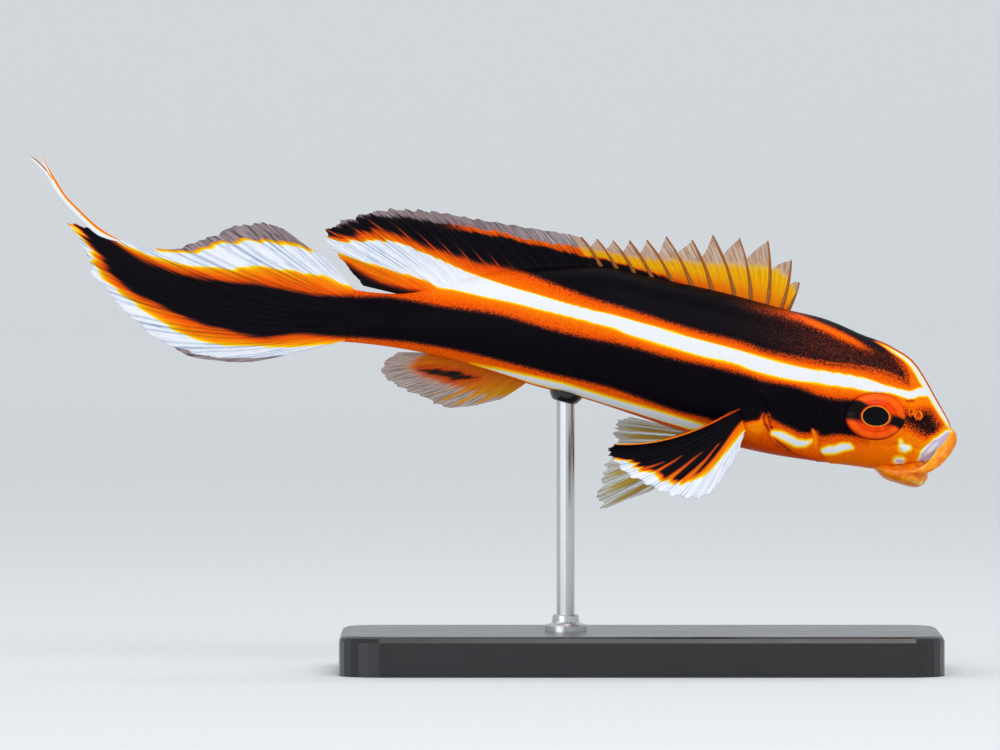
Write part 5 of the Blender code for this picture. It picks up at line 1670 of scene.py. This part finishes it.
def lay_floor(material):
    """Floor that sweeps up behind into a backdrop."""
    profile = [(FLOOR_FRONT, 0.0), (FLOOR_BACK, 0.0)]
    for angle in np.linspace(0.0, math.pi / 2, 17)[1:]:
        sweep = (FLOOR_BACK + SWEEP_RADIUS * math.sin(angle), SWEEP_RADIUS * (1 - math.cos(angle)))
        profile.append(sweep)
    profile.append((FLOOR_BACK + SWEEP_RADIUS, BACKDROP_TOP))
    points = [(x, y, z) for y, z in profile for x in (-FLOOR_HALF_WIDTH, FLOOR_HALF_WIDTH)]
    faces = [(2 * i, 2 * i + 1, 2 * i + 3, 2 * i + 2) for i in range(len(profile) - 1)]
    floor = mesh_piece("floor", points, faces, material)
    floor.data.shade_smooth()


def light_studio():
    """Soft panel lights, and a pale sky that fills the shadows."""
    for name, spot, size, watts, colour, target in LIGHTS:
        data = bpy.data.lights.new(name, "AREA")
        data.shape = "RECTANGLE"
        data.size, data.size_y = size
        data.energy = watts
        data.color = linear(colour)[:3]
        light = bpy.data.objects.new(name, data)
        bpy.context.scene.collection.objects.link(light)
        light.location = spot
        light.rotation_euler = (Vector(target) - Vector(spot)).to_track_quat("-Z", "Y").to_euler()
    world = bpy.data.worlds.new("studio")
    world.use_nodes = True
    glow = world.node_tree.nodes["Background"]
    glow.inputs["Color"].default_value = linear(SKY_COLOUR)
    glow.inputs["Strength"].default_value = SKY_STRENGTH
    bpy.context.scene.world = world
    bpy.context.scene.view_settings.view_transform = "Standard"


def place_camera():
    """Long lens square to the fish's right side, a little above it."""
    data = bpy.data.cameras.new("camera")
    data.lens = LENS
    data.sensor_width = SENSOR
    data.clip_start = 0.01
    data.clip_end = 10.0
    camera = bpy.data.objects.new("camera", data)
    bpy.context.scene.collection.objects.link(camera)
    lift = math.radians(CAMERA_LIFT)
    back = Vector((0.0, -math.cos(lift), math.sin(lift)))
    distance = VIEW_WIDTH * MM * LENS / SENSOR
    camera.location = Vector(CAMERA_TARGET) * MM + back * distance
    camera.rotation_euler = (-back).to_track_quat("-Z", "Y").to_euler()
    bpy.context.scene.camera = camera


RIDGES = ray_ridge_tree()
SPINES = spine_tree()

skin_finish = wet_scaled_skin()
# Webs: their white, the colour of the shade painted in their creases and of their fine lines, the two
# shades of their margin, the colour and strength of their rays, and the tone over every colour
banded = rayed_web(
    "varnished_banded_web", "#E8ECF4", "#7488B4", ("#40282A", "#A88E94"), "#FAFAF8", 0.0, "#FFFFFF"
)
amber = rayed_web(
    "varnished_amber_web", "#E8DCC8", "#C8B8A0", ("#A86C3C", "#D2B496"), "#D98A14", 0.0, "#F6F0E8"
)
brown_rays = rayed_web(
    "varnished_brown_web", "#E6E0D8", "#C0B0A0", ("#6A5048", "#BCA8A0"), "#B08A18", 0.06, "#C8B890"
)
olive_rays = rayed_web(
    "varnished_clear_web", "#E4E4DC", "#A8A894", ("#8E8880", "#CFCFCB"), "#9A7E10", 0.35, "#B8B070"
)
dark_web = rayed_web(
    "varnished_black_web", "#EEF1F8", "#9CB0CC", ("#3A2E34", "#A89AA4"), "#FAFAF8", 0.0, "#FFFFFF"
)
spine_finish = horn_spine()
lip_finish = moist_lip()
eye_finish = glass_eye()
acrylic = cast_acrylic()
steel = drawn_steel()

skin_piece(skin_finish)
eye_piece("eye_right", RIGHT, eye_finish)
eye_piece("eye_left", LEFT, eye_finish)
lip_piece(lip_finish)
jaw_piece(lip_finish)
lower_lip(lip_finish)

spiny_fin(amber)
dorsal_spines(spine_finish)
median_fin("dorsal_fin_soft", SOFT_DORSAL, SOFT_DORSAL_RAYS, True, dorsal_look, banded, 11)
median_fin("anal_fin", ANAL, ANAL_RAYS, False, anal_look, brown_rays, 12)
tail_fin(banded)
tail_thread(banded)
pectoral = (pectoral_look, "black_web", dark_web, 21, 0.02)
paired_fin("pectoral_fin_right", PECTORAL, PECTORAL_RAYS, RIGHT, *pectoral)
paired_fin(
    "pectoral_fin_left", PECTORAL, PECTORAL_RAYS, LEFT, *pectoral, FAR_PECTORAL_REACH, FAR_PECTORAL_DROP
)
for word, guides, side, seed in (("right", PELVIC, RIGHT, 31), ("left", PELVIC_FAR, LEFT, 32)):
    pelvic = (pelvic_look, "clear_web", olive_rays, seed, 0.06)
    paired_fin("pelvic_fin_" + word, guides, PELVIC_RAYS, side, *pelvic)

for node, finish in (("stand_base", acrylic), ("stand_rod", steel)):
    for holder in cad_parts[node].material_slots:
        holder.material = finish
stand_fittings(steel, acrylic)

lay_floor(studio_paper())
light_studio()
place_camera()
